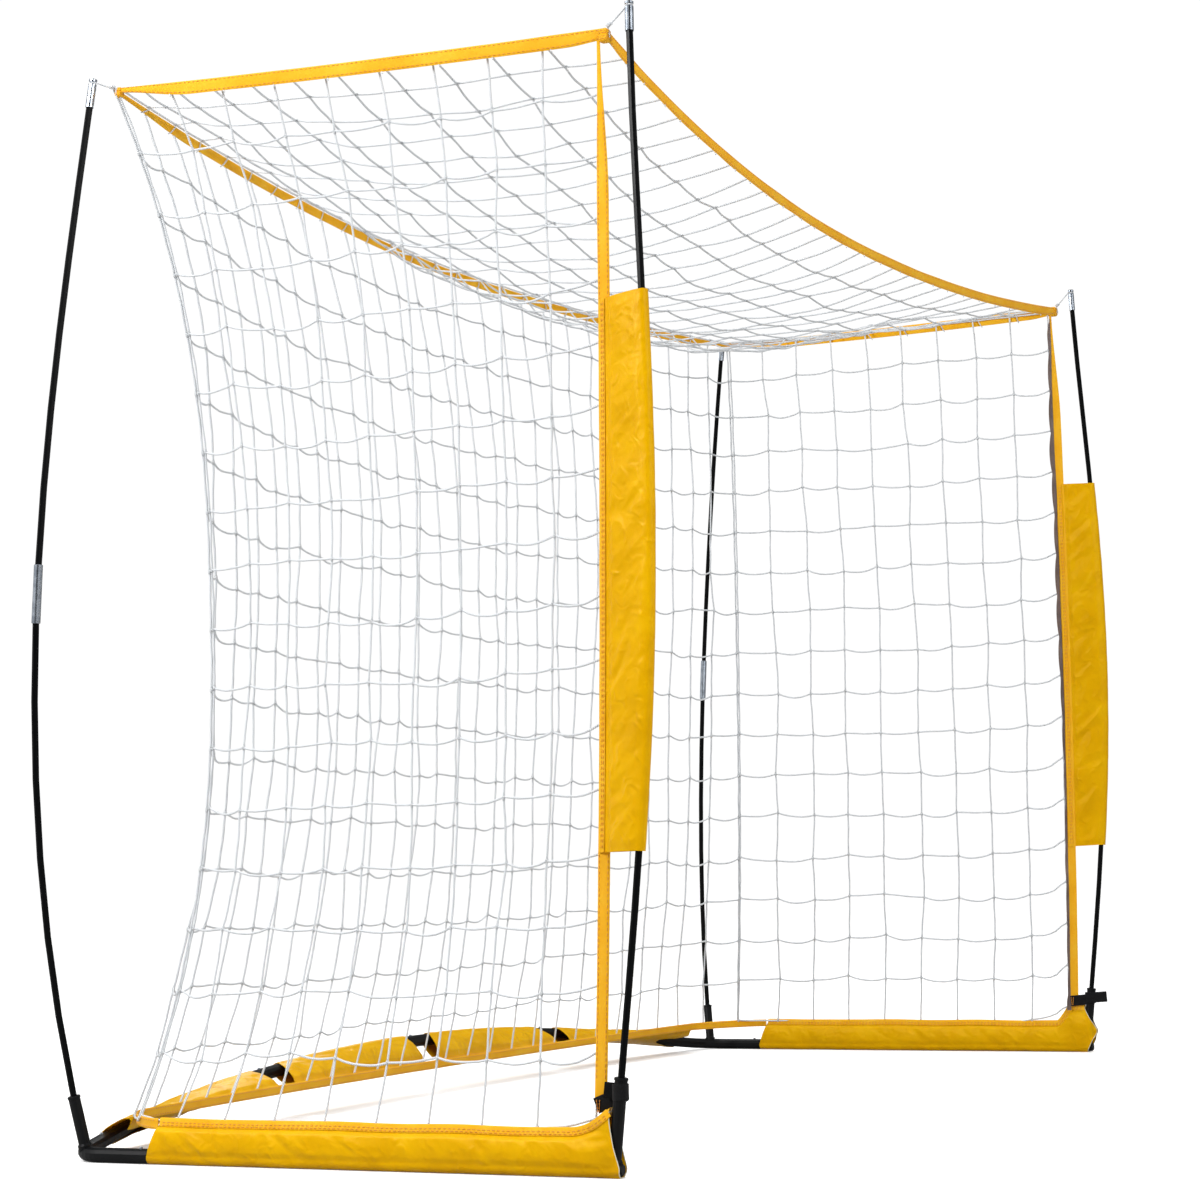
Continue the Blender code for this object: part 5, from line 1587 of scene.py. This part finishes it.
@dataclass(frozen=True)
class Uprights:
    """Front upright bands, gathered narrow at the top, with their shields round the poles.

    flap is the full width of the turned-in cloth, cell the height of the net's cells that scallop it, and
    flap_lean the way it turns, inwards and back. seams and bound_seams are shares of a half width, and
    unsewn the lengths at a band's foot and top that have no stitches.
    """

    flap: float = 0.0135
    flap_low: float = 0.100
    flap_least: float = 0.002
    flap_lean: tuple[float, float] = (0.85, 0.52)
    cell: float = 0.1
    seams: tuple[float, float] = (-0.70, 0.70)
    unsewn: tuple[float, float] = (0.02, 0.12)
    bound_seams: tuple[float, float] = (-0.55, 0.05)
    foot_height: float = 0.119
    binding: float = 0.0115
    shield_low: float = 0.495
    shield_high: float = 1.372
    shield_bore: float = 0.0092

    def band(self, side: float, tag: str, thread: Shape) -> None:
        """One band: it widens from the corner over the gathered length."""
        z = np.linspace(self.foot_height, LAYOUT.band_end(0.6), 181)
        width = LAYOUT.band_span(z)
        slope = (LAYOUT.upright(side, 0.20) - LAYOUT.upright(side, 0.16)) / 0.04
        below = np.maximum(LAYOUT.band_foot[2] - z, 0.0)[:, None]
        line = LAYOUT.upright(side, z) - slope * below * (1.0, 1.0, 0.0)
        line[:, 1] += (LAYOUT.band_full - width) * 0.25
        tape = Tape(TapeCut(seed=31 + int(side), cup=0.0006, wave=0.0007), line, vec(0, 1, 0), vec(side, 0, 0), width)
        tape.build(f"tape_front_{tag}", TAPE, f"front_band_{tag}", rests_on=[f"front_band_{tag}"])
        tape.sew(thread, *self.seams, first=self.unsewn[0], last=self.unsewn[1])

    def facing(self, side: float, tag: str) -> None:
        """One flap of the band's cloth, turned inwards at its rear edge, whose grey-brown back shows.

        Its width is scalloped by a sine between the net's knots, narrow below the shield and wide at its foot.
        """
        top = LAYOUT.band_end(1.2)
        z = np.linspace(self.flap_low, top, 221)
        scallop = 0.50 + 0.50 * np.abs(np.sin(np.pi * z / self.cell)) ** 0.6 + 0.20 * ripple(z / 0.16, 0.0 * z, 33)
        size = self.flap * scallop * lerp(0.60, 1.0, ease((z - 0.55) / 0.5)) * ease((top + 0.01 - z) / 0.05)
        size = np.maximum(np.maximum(size, self.flap * ease((0.165 - z) / 0.05)), self.flap_least)
        lean = unit(vec(-side * self.flap_lean[0], self.flap_lean[1], 0.0))
        root = LAYOUT.band_edge(side, z) + vec(-side * 0.0012, -0.0022, 0.0)
        tape = Tape(TapeCut(self.flap, 0.0010, cup=0.0010, wave=0.0012, seed=36 + int(side)),
                    root + lean * (size / 2.0)[:, None], lean, vec(side, 0.6, 0), size)
        tape.build(f"flap_front_{tag}", LINING, rests_on=[f"tape_front_{tag}"])

    def shield(self, side: float, tag: str, thread: Shape) -> None:
        """One shield: a sleeve round the pole whose sewn tail takes in the band."""
        z = np.linspace(self.shield_low, self.shield_high, 361)
        centres = LAYOUT.pole(side, True, z)
        tips = LAYOUT.upright(side, z) + vec(0.0, LAYOUT.band_full / 2.0 - 0.0035, 0.0)
        tips[:, 2] += 0.004 * np.sin(z * 9.0 + side)
        cut = SleeveCut(self.shield_bore, tail=0.021, tail_half=0.0024, puff=0.0020, fold=0.0082,
                        fold_length=0.050, fold_width=0.021, fold_lean=34.0, snug=0.12, seed=70 + int(side),
                        half_steps=44)
        sleeve = Sleeve(cut, centres, tips, tangents(centres))
        sleeve.build(f"shield_{tag}", CLOTH, f"pole_shield_{tag}", rests_on=[f"front_band_{tag}"])
        sleeve.bind(thread, self.binding, 46 + int(side), self.bound_seams,
                    (f"binding_shield_{tag}_in", f"binding_shield_{tag}_out"), f"shield_{tag}")

    def build(self) -> None:
        """Make both bands, their flaps and both shields."""
        thread = Shape()
        for side, tag in SIDES:
            self.band(side, tag, thread)
            self.facing(side, tag)
            self.shield(side, tag, thread)
        thread.build("stitches_uprights", THREAD)


@dataclass(frozen=True)
class SideSleeves:
    """Sleeves round the side tubes: sewn along the top, slanted at the rear, and open round the socket.

    play is the room round the tube and rim the radius of the pale cut edge. The mouth opens over mouth_run,
    to mouth_half on each side of the socket, up to mouth_top. lip and belly are how far its lower edge on
    the left, and its middle on the right, reach forward. bound_seams are shares of the binding's half width.
    """

    play: float = 0.0004
    rim: float = 0.0008
    mouth_run: float = 0.060
    mouth_half: float = 0.0146
    mouth_top: float = 0.110
    lip: float = 0.020
    belly: float = 0.030
    binding: float = 0.0140
    bound_seams: tuple[float, float] = (-0.62, -0.05)

    def stations(self, side: float) -> tuple[Array, Array]:
        """Centres on the tube and tips of the tail, which ends sooner at the rear."""
        t = shares(361)
        front, rear = -LAYOUT.half_depth, LAYOUT.half_depth - LAYOUT.side_leg
        low = lerp(rear - 0.0006, front + 0.0005, t)
        high = lerp(rear - LAYOUT.sleeve_slant, front + 0.0030, t)
        wave = 0.0012 * ripple(high / 0.11, 0.0 * high, 5)
        return (vec(side * LAYOUT.side_x(low), low, LAYOUT.tube_z),
                vec(side * LAYOUT.side_x(high), high, LAYOUT.seam_height(high, side) + wave))

    def open_mouth(self, rings: Array, side: float, inset: float) -> None:
        """Spread the rings round the socket and draw the lip out under it.

        The half width becomes at least a flattened oval over the height. On the left the lower edge moves
        forward by a power that falls with the height. On the right the middle does, to a point where the two
        layers close in past the socket. All of it eases in over the mouth's run.

        Args:
            rings: Points by station and place, which are changed.
            side: Which sleeve.
            inset: How far inside the outer face.
        """
        far = rings[-1, :, 1].mean() - rings[:, :, 1].mean(axis=1)
        share = ease(1.0 + far / self.mouth_run)[:, None]
        height = np.clip(rings[..., 2] / self.mouth_top, 0.0, 1.0)
        middle = side * LAYOUT.side_x(rings[..., 1])
        half = rings[..., 0] - middle
        oval = (self.mouth_half - inset) * np.sqrt(1.0 - height ** 4) * share
        low = ease(rings[..., 2] / 0.010)
        rings[..., 0] = middle + np.sign(half) * np.maximum(np.abs(half), oval * lerp(0.55, 1.0, low))
        if side < 0.0:
            forward = self.lip * (1.0 - np.clip(height / 0.85, 0.0, 1.0)) ** 1.35
            rings[..., 1] -= share * forward * lerp(0.72, 1.0, ease(height / 0.16))
        else:
            rings[..., 1] -= share * self.belly * np.maximum(1.0 - np.abs(height - 0.46) / 0.52, 0.0)
            past = ease((-LAYOUT.half_depth - 0.0125 - rings[..., 1]) / 0.010) * ease((rings[..., 2] - 0.028) / 0.012)
            rings[..., 0] = middle + (rings[..., 0] - middle) * (1.0 - 0.8 * past)

    def build(self) -> None:
        """Make both sleeves with two rows of stitches and a pale cut edge at the mouth."""
        thread, edge = Shape(), Shape()
        for side, tag in SIDES:
            centres, tips = self.stations(side)
            cut = SleeveCut(LAYOUT.side_tube_r + self.play, tail=0.013, puff=0.0075, fold=0.0056,
                            fold_length=0.058, fold_width=0.017, fold_lean=24.0, snug=0.40, seed=40 + int(side),
                            floor=True, half_steps=42)
            sleeve = Sleeve(cut, centres, tips, tangents(centres))
            self.open_mouth(sleeve.outer, side, 0.0)
            self.open_mouth(sleeve.inner, side, cut.cloth)
            sleeve.build(f"sleeve_side_{tag}", CLOTH, f"side_sleeve_{tag}", rests_on=[f"side_tube_{tag}"])
            sleeve.bind(thread, self.binding, 44 + int(side), self.bound_seams,
                        (f"binding_{tag}_near", f"binding_{tag}_far"), f"sleeve_side_{tag}",
                        lambda rows, side=side: self.open_mouth(rows, side, 0.0))
            mouth = lerp(sleeve.outer[-1], sleeve.inner[-1], 0.5)[None]
            edge.tubes(np.concatenate((mouth, mouth[:, :1]), axis=1), self.rim, 6, vec(0, 1, 0))
        thread.build("stitches_side_sleeves", THREAD)
        edge.build("cut_edges_side_sleeves", CUT_EDGE)


@dataclass(frozen=True)
class RearSleeves:
    """Four sleeves on the rear run with their tails sewn to the hem, and bare tube between them.

    gap is the bare tube between two of them and end_play what is left at the elbows. A seam runs slant past
    the cloth round the tube, but ends end_slant short of it at the elbows, where cut_back of the lower layer
    is cut away. joints are shares of the half width where they meet, seams depths from the tail's tip, and hem_seams
    shares of the hem's half width.
    """

    gap: float = 0.100
    end_play: float = 0.0006
    slant: float = 0.022
    end_slant: float = 0.020
    cut_back: float = 0.125
    joints: tuple[float, ...] = (-0.45, 0.0, 0.45)
    seams: tuple[float, float] = (0.0060, 0.0100)
    hem_seams: tuple[float, float] = (-0.62, 0.62)

    def shorten(self, rings: Array, length: float, start: bool) -> Array:
        """Cut the lower layer back at one end, so that the upper layer's inside shows.

        Each point slides along its own row, by a share that is full between the tail and the tube, nothing
        on the upper layer, and falls with the square of the distance from the end.

        Args:
            rings: Points by station and place.
            length: The sleeve's length.
            start: Whether the first station is cut back, or the last one.

        Returns:
            The rings with that end cut back.
        """
        rows, columns = rings.shape[:2]
        around = np.arange(columns) / ((columns - 1) // 2)
        share = ease((around - 0.20) / 0.12) * (1.0 - ease((around - 0.50) / 0.50))
        t = shares(rows)[:, None]
        move = self.cut_back / length * share * ((1.0 - t) ** 2 if start else -t ** 2)
        place = (t + move) * (rows - 1)
        low = np.clip(np.floor(place).astype(int), 0, rows - 2)
        column = np.arange(columns)[None, :]
        return lerp(rings[low, column], rings[low + 1, column], (place - low)[..., None])

    def sleeve(self, i: int, low: float, high: float, thread: Shape) -> None:
        """Make one sleeve between two marks on the base tube, with two rows of stitches on each layer.

        Args:
            i: Its number, from 0 at the left.
            low: Distance along the base at which it starts.
            high: Distance at which it ends.
            thread: The shape that gathers the stitches.
        """
        mark = np.linspace(low, high, 201)
        t = (mark - low) / (high - low)
        near = self.end_slant if i == 0 else -self.slant
        far = self.end_slant if i == 3 else -self.slant
        tube = BASE.at(mark + near * (1.0 - t) ** 2 - far * t ** 2)
        hem = LAYOUT.hem_rear(tube[:, 0] / LAYOUT.rear_half)
        tips = vec(tube[:, 0], hem[:, 1] + 0.0024, hem[:, 2])
        cut = SleeveCut(LAYOUT.elbow_r + 0.0005, tail=0.016, puff=0.0045, fold=0.0056, fold_length=0.052,
                        fold_width=0.018, fold_lean=30.0, snug=0.35, seed=50 + i, half_steps=40)
        sleeve = Sleeve(cut, BASE.at(mark), tips, BASE.heading(mark))
        if i in (0, 3):
            sleeve.outer = self.shorten(sleeve.outer, high - low, i == 0)
            sleeve.inner = self.shorten(sleeve.inner, high - low, i == 0)
        sleeve.build(f"sleeve_rear_{i + 1}", CLOTH, f"rear_sleeve_{i + 1}", rests_on=[f"rear_tube_{i + 1}"])
        for depth in self.seams:
            for side in (-1.0, 1.0):
                stitch_run(thread, *sleeve.seam(depth, side))

    def hem(self, thread: Shape) -> None:
        """Make the hem, sewn along both edges on both faces."""
        mark = np.linspace(0.0, HEM.length, 401)
        cut = TapeCut(LAYOUT.hem_width, seed=58, wave=0.0016)
        tape = Tape(cut, HEM.at(mark), UP, np.cross(HEM.heading(mark), UP))
        tape.build("tape_hem", TAPE, "hem_band", rests_on=["hem_band"])
        for share in self.hem_seams:
            for side in (-1.0, 1.0):
                tape.sew(thread, share, side=side)

    def build(self) -> None:
        """Make the sleeves and the hem, with their stitches."""
        thread = Shape()
        first = CORNER_MARK + LAYOUT.rear_leg
        inner = [BASE.where(0, LAYOUT.rear_half * s) for s in self.joints]
        joints = [first] + inner + [BASE.length - first]
        for i in range(4):
            low = joints[i] + (self.end_play if i == 0 else self.gap / 2.0)
            high = joints[i + 1] - (self.end_play if i == 3 else self.gap / 2.0)
            self.sleeve(i, low, high, thread)
        self.hem(thread)
        thread.build("stitches_rear", THREAD)


@dataclass(frozen=True)
class Straps:
    """Hook-and-loop straps round the front sockets, sewn to the feet of the upright bands.

    drop is how far the left and the right strap's sewn end hangs under its middle, and tab how long its free
    end is. A strap starts at an angle and turns round the socket by another, in degrees: the left one's
    start is counted from its sewn end.
    """

    width: float = 0.025
    thickness: float = 0.0016
    height: float = 0.1170
    drop: tuple[float, float] = (0.0225, 0.0080)
    tab: tuple[float, float] = (0.024, 0.044)
    left_start: float = 78.0
    left_turn: float = 392.0
    right_start: float = 165.0
    right_turn: float = 375.0

    def build(self) -> None:
        """Make each strap as one tape: from the band's foot, round the socket, and out to its free end."""
        thread = Shape()
        for (side, tag), drop, tab in zip(SIDES, self.drop, self.tab):
            foot = LAYOUT.pole_foot(side, True)
            axis = unit(LAYOUT.pole(side, True, foot[2] + LAYOUT.front_socket * 0.985) - foot)
            middle_z = self.height + self.width / 2.0
            centre = foot + axis * ((middle_z - foot[2]) / axis[2])
            end = LAYOUT.upright(side, LAYOUT.band_foot[2]) + vec(0.0, 0.008, 0.0)
            end[2] = middle_z - drop
            arm = end - centre
            start = math.atan2(arm[1], side * arm[0])
            turns = shares(61)
            radius = LAYOUT.socket_r + 0.0013 + 0.0021 * ease((turns - 0.55) / 0.4)
            if side < 0.0:
                angle = start + math.radians(self.left_start) - turns * math.radians(self.left_turn)
            else:
                angle = math.radians(self.right_start) + turns * math.radians(self.right_turn)
            wrap = vec(centre[0] + side * radius * np.cos(angle), centre[1] + radius * np.sin(angle), centre[2])
            wrap[:, 2] += -0.004 * (1.0 - ease(turns * 3.0))
            lead = lerp(vec(end[0] - 0.0030, end[1], end[2]), wrap[0], shares(16)[:-1, None])
            free = wrap[-1] + unit(wrap[-1] - wrap[-2]) * np.linspace(0.002, tab, 10)[:, None]
            free[:, 2] += np.linspace(0.0, 0.003, 10)
            line = np.vstack((lead, wrap, free))
            cut = TapeCut(self.width, self.thickness, cup=0.0, wave=0.0006, seed=80)
            tape = Tape(cut, line, UP, np.cross(tangents(line), UP))
            tape.build(f"strap_{tag}", LOOP_TAPE, f"closure_strap_{tag}", rests_on=[f"socket_front_{tag}"])
            share = np.linspace(-0.8, 0.8, 12)
            for lean in (-1.0, 1.0):
                row = vec(end[0] - 0.0042, end[1] - 0.004 + lean * 0.0012 * (1.6 + share),
                          end[2] + share * self.width / 2.0)
                stitch_run(thread, row, np.broadcast_to(vec(-1, 0, 0), row.shape), 0.0034, 0.0012)
        thread.build("stitches_straps", THREAD)


@dataclass(frozen=True)
class Ties:
    """Cords hooked round the neck of each pole tip and led to the net's corner.

    head and neck_half say how far under the tip's top the middle of its neck lies, and play is the room
    between neck and cord. coil and knot_cord are the radius of a knot's turns and of the cord in them.
    """

    radius: float = 0.0014
    neck_r: float = 0.0038
    ferrule_r: float = 0.0072
    head: float = 0.0052
    neck_half: float = 0.0020
    play: float = 0.0003
    coil: float = 0.0028
    knot_cord: float = 0.0013

    def build(self) -> None:
        knots = Shape()
        for front, end in ((True, "front"), (False, "rear")):
            for side, tag in SIDES:
                low, axis = LAYOUT.tip_frame(side, front)
                corner = LAYOUT.front_corner(side) if front else LAYOUT.rear_corner(side)
                neck = low + axis * (LAYOUT.tip_length - self.head - self.neck_half)
                arm = corner - neck
                arm = unit(arm - axis * np.dot(arm, axis))
                across = np.cross(axis, arm)
                turn = self.neck_r + self.play + self.radius * 1.1
                angle = np.linspace(-0.25 * math.pi, math.pi, 22)[:, None]
                loop = neck + (across * np.cos(angle) - arm * np.sin(angle)) * turn
                leave = neck - across * turn + arm * (self.ferrule_r + self.radius + 0.0015)
                target = corner + vec(0.0, 0.0, self.radius * 0.35)
                step = shares(16)
                run = lerp(leave, target - unit(target - leave) * (self.radius + 0.0006), step[:, None])
                run[:, 2] -= 0.0012 * np.sin(np.pi * step)
                path = np.vstack((loop, run))[::-1]
                self.knot(knots, leave, target, axis)
                shape = Shape()
                shape.tubes(path[None], self.radius, 8, axis + 0.31 * across)
                piece = shape.build(f"tie_{end}_{tag}", CORD, f"tie_cord_{end}_{tag}", sharp=80.0)
        knots.build("tie_knots", CORD, sharp=80.0)

    def knot(self, shape: Shape, leave: Array, target: Array, axis: Array) -> None:
        """Wind three turns of cord as a helix round the tie near the corner, with a short drooping tail.

        Args:
            shape: The shape that gathers the knots.
            leave: Where the tie leaves the tip's neck.
            target: Where it meets the corner.
            axis: The tip's axis.
        """
        ahead = unit(target - leave)
        first = unit(np.cross(ahead, axis))
        second = np.cross(ahead, first)
        t = shares(43)[:, None]
        turn = 3.0 * FULL_TURN * t
        coil = target - ahead * lerp(0.0120, 0.0035, t) + (first * np.cos(turn) + second * np.sin(turn)) * self.coil
        s = shares(9)[1:, None]
        tail = coil[-1] + (second * 0.008 + ahead * 0.004) * s - UP * (0.009 * s ** 2)
        shape.tubes(np.vstack((coil, tail))[None], self.knot_cord, 6, ahead + 0.2 * first + 0.1 * second)


# Studio


def stand(name: str, data: bpy.types.ID) -> bpy.types.Object:
    """Put a new object into the scene, at the origin."""
    holder = bpy.data.objects.new(name, data)
    bpy.context.collection.objects.link(holder)
    return holder


@dataclass(frozen=True)
class Softbox:
    """A square soft light, aimed at the goal."""

    name: str
    place: tuple[float, float, float]
    size: float
    watts: float
    aim: tuple[float, float, float] = (0.0, 0.0, 0.8)

    def hang(self) -> None:
        """Hang the light and turn it to its aim."""
        lamp = bpy.data.lights.new(self.name, "AREA")
        lamp.size = self.size
        lamp.energy = self.watts
        holder = stand(self.name, lamp)
        holder.location = self.place
        holder.rotation_euler = (Vector(self.aim) - Vector(self.place)).to_track_quat("-Z", "Y").to_euler()


@dataclass(frozen=True)
class Studio:
    """Pale floor, white surroundings, soft lights and the photograph's camera.

    azimuth, pitch and roll turn the camera, in degrees. overhead and around are the strengths of the light
    from above and, from its darker to its brighter side, of the room. glint is the share of the overhead
    light that is mirrored, and white the strength of what the camera sees.
    """

    camera_place: tuple[float, float, float] = (-4.9284, -2.3065, 0.4705)
    azimuth: float = -63.761
    pitch: float = 5.8425
    roll: float = -1.4817
    lens_mm: float = 78.46
    overhead: float = 1.8
    around: tuple[float, float] = (0.07, 0.32)
    glint: float = 0.35
    white: float = 1.03
    floor_half: float = 60.0
    floor_drop: float = 0.0005
    floor_bounce: str = "#B0B0B0"
    floor_seen: str = "#FCFCFC"
    floor_glow: float = 0.26
    key: Softbox = Softbox("key", (-4.3, 1.9, 3.3), 1.1, 155.0, (-0.4, -0.2, 0.9))
    front: Softbox = Softbox("front", (-2.4, -4.4, 2.4), 1.4, 78.0, (0.3, -0.2, 1.8))
    rim: Softbox = Softbox("rim", (3.6, 2.8, 3.0), 1.4, 30.0)

    def camera(self) -> None:
        """Stand the camera where the photograph was taken from."""
        turn, up, tilt = (math.radians(angle) for angle in (self.azimuth, self.pitch, self.roll))
        ahead = Vector((-math.sin(turn) * math.cos(up), math.cos(turn) * math.cos(up), math.sin(up)))
        right = Vector((math.cos(turn), math.sin(turn), 0.0))
        top = right.cross(ahead)
        level = right * math.cos(tilt) + top * math.sin(tilt)
        above = top * math.cos(tilt) - right * math.sin(tilt)
        lens = bpy.data.cameras.new("photo_camera")
        lens.lens = self.lens_mm
        lens.sensor_width = 36.0
        lens.clip_end = 200.0
        holder = stand("photo_camera", lens)
        axes = Matrix((level, above, -ahead)).transposed().to_4x4()
        holder.matrix_world = Matrix.Translation(self.camera_place) @ axes
        bpy.context.scene.camera = holder

    def surroundings(self) -> None:
        """White to the eye; as light, a bright patch overhead and a dim room that is brighter on the left.

        Glossy surfaces see two tall bright screens, at the left and the right, and a dark gap between them.
        """
        world = bpy.data.worlds.new("studio")
        world.use_nodes = True
        tree = world.node_tree
        place = add_node(tree, "TexCoord").outputs["Generated"]

        def spread(value: Socket, *ends: float) -> Socket:
            """Map a value from its first two ends to 0 and 1, or to the last two ends."""
            limits = dict(zip(("From Min", "From Max", "To Min", "To Max"), ends))
            return add_node(tree, "MapRange", {"Value": value, **limits}).outputs["Result"]

        def towards(*way: float) -> Socket:
            """Say how far the line of sight points one way, by a dot product."""
            return add_node(tree, "VectorMath", {0: place, 1: way}, operation="DOT_PRODUCT").outputs["Value"]

        height = add_node(tree, "SeparateXYZ", {0: place}).outputs["Z"]
        above = spread(height, 0.55, 1.0, 0.0, self.overhead)
        left = math.radians(self.azimuth + 100.0)
        room = spread(towards(math.sin(left), -math.cos(left), 0.25), -0.7, 0.9, *self.around)
        light = add_node(tree, "Math", {0: above, 1: room}, operation="ADD").outputs["Value"]
        turn = math.radians(self.azimuth)
        screens = ramp(tree, spread(towards(-math.cos(turn), -math.sin(turn), 0.0), -1.0, 1.0),
                       (0.06, "#A8ACB2"), (0.96, "#E4E6EA"), (0.34, "#2A2B2D"), (0.60, "#2A2B2D"))
        screens.color_ramp.interpolation = "EASE"
        ring = add_node(tree, "Math", {0: above, 1: self.glint, 2: screens.outputs["Color"]},
                        operation="MULTIPLY_ADD").outputs["Value"]
        path = add_node(tree, "LightPath").outputs
        mirrored = add_node(tree, "Mix", {0: path["Is Glossy Ray"], 2: light, 3: ring}).outputs[0]
        seen = add_node(tree, "Mix", {0: path["Is Camera Ray"], 2: mirrored, 3: self.white}).outputs[0]
        fill(tree, tree.nodes["Background"], {"Color": (1.0, 1.0, 1.0, 1.0), "Strength": seen})
        bpy.context.scene.world = world

    def floor(self) -> None:
        """A wide matt pale floor, which throws little light back up, as a white sweep under a raised goal does."""
        half = self.floor_half
        mesh = bpy.data.meshes.new("studio_floor")
        mesh.from_pydata([(-half, -half, 0), (half, -half, 0), (half, half, 0), (-half, half, 0)], [], [(0, 1, 2, 3)])
        paint = bpy.data.materials.new("studio_floor_paint")
        paint.use_nodes = True
        tree = paint.node_tree
        seen = add_node(tree, "LightPath").outputs["Is Camera Ray"]
        tone = ramp(tree, seen, (0.0, self.floor_bounce), (1.0, self.floor_seen))
        glow = add_node(tree, "Math", {0: seen, 1: self.floor_glow}, operation="MULTIPLY")
        fill(tree, tree.nodes["Principled BSDF"],
             {"Base Color": tone.outputs["Color"], "Emission Strength": glow.outputs["Value"],
              "Emission Color": (1.0, 1.0, 1.0, 1.0), "Roughness": 0.9})
        mesh.materials.append(paint)
        plane = stand("studio_floor", mesh)
        plane.location.z = -self.floor_drop

    def build(self) -> None:
        """Set up the whole studio."""
        self.camera()
        self.surroundings()
        self.floor()
        for light in (self.key, self.front, self.rim):
            light.hang()
        bpy.context.scene.view_settings.view_transform = "Standard"
        LOG.info("studio ready")


def main() -> None:
    """Build the studio and every sub-assembly."""
    logging.basicConfig(level=logging.INFO, format="%(name)s: %(message)s")
    Studio().build()
    for assembly in (HardParts(), Ties(), NetPanels(), TopBands(), CornerTabs(), Uprights(),
                     SideSleeves(), RearSleeves(), Straps()):
        assembly.build()


if __name__ == "__main__":
    main()
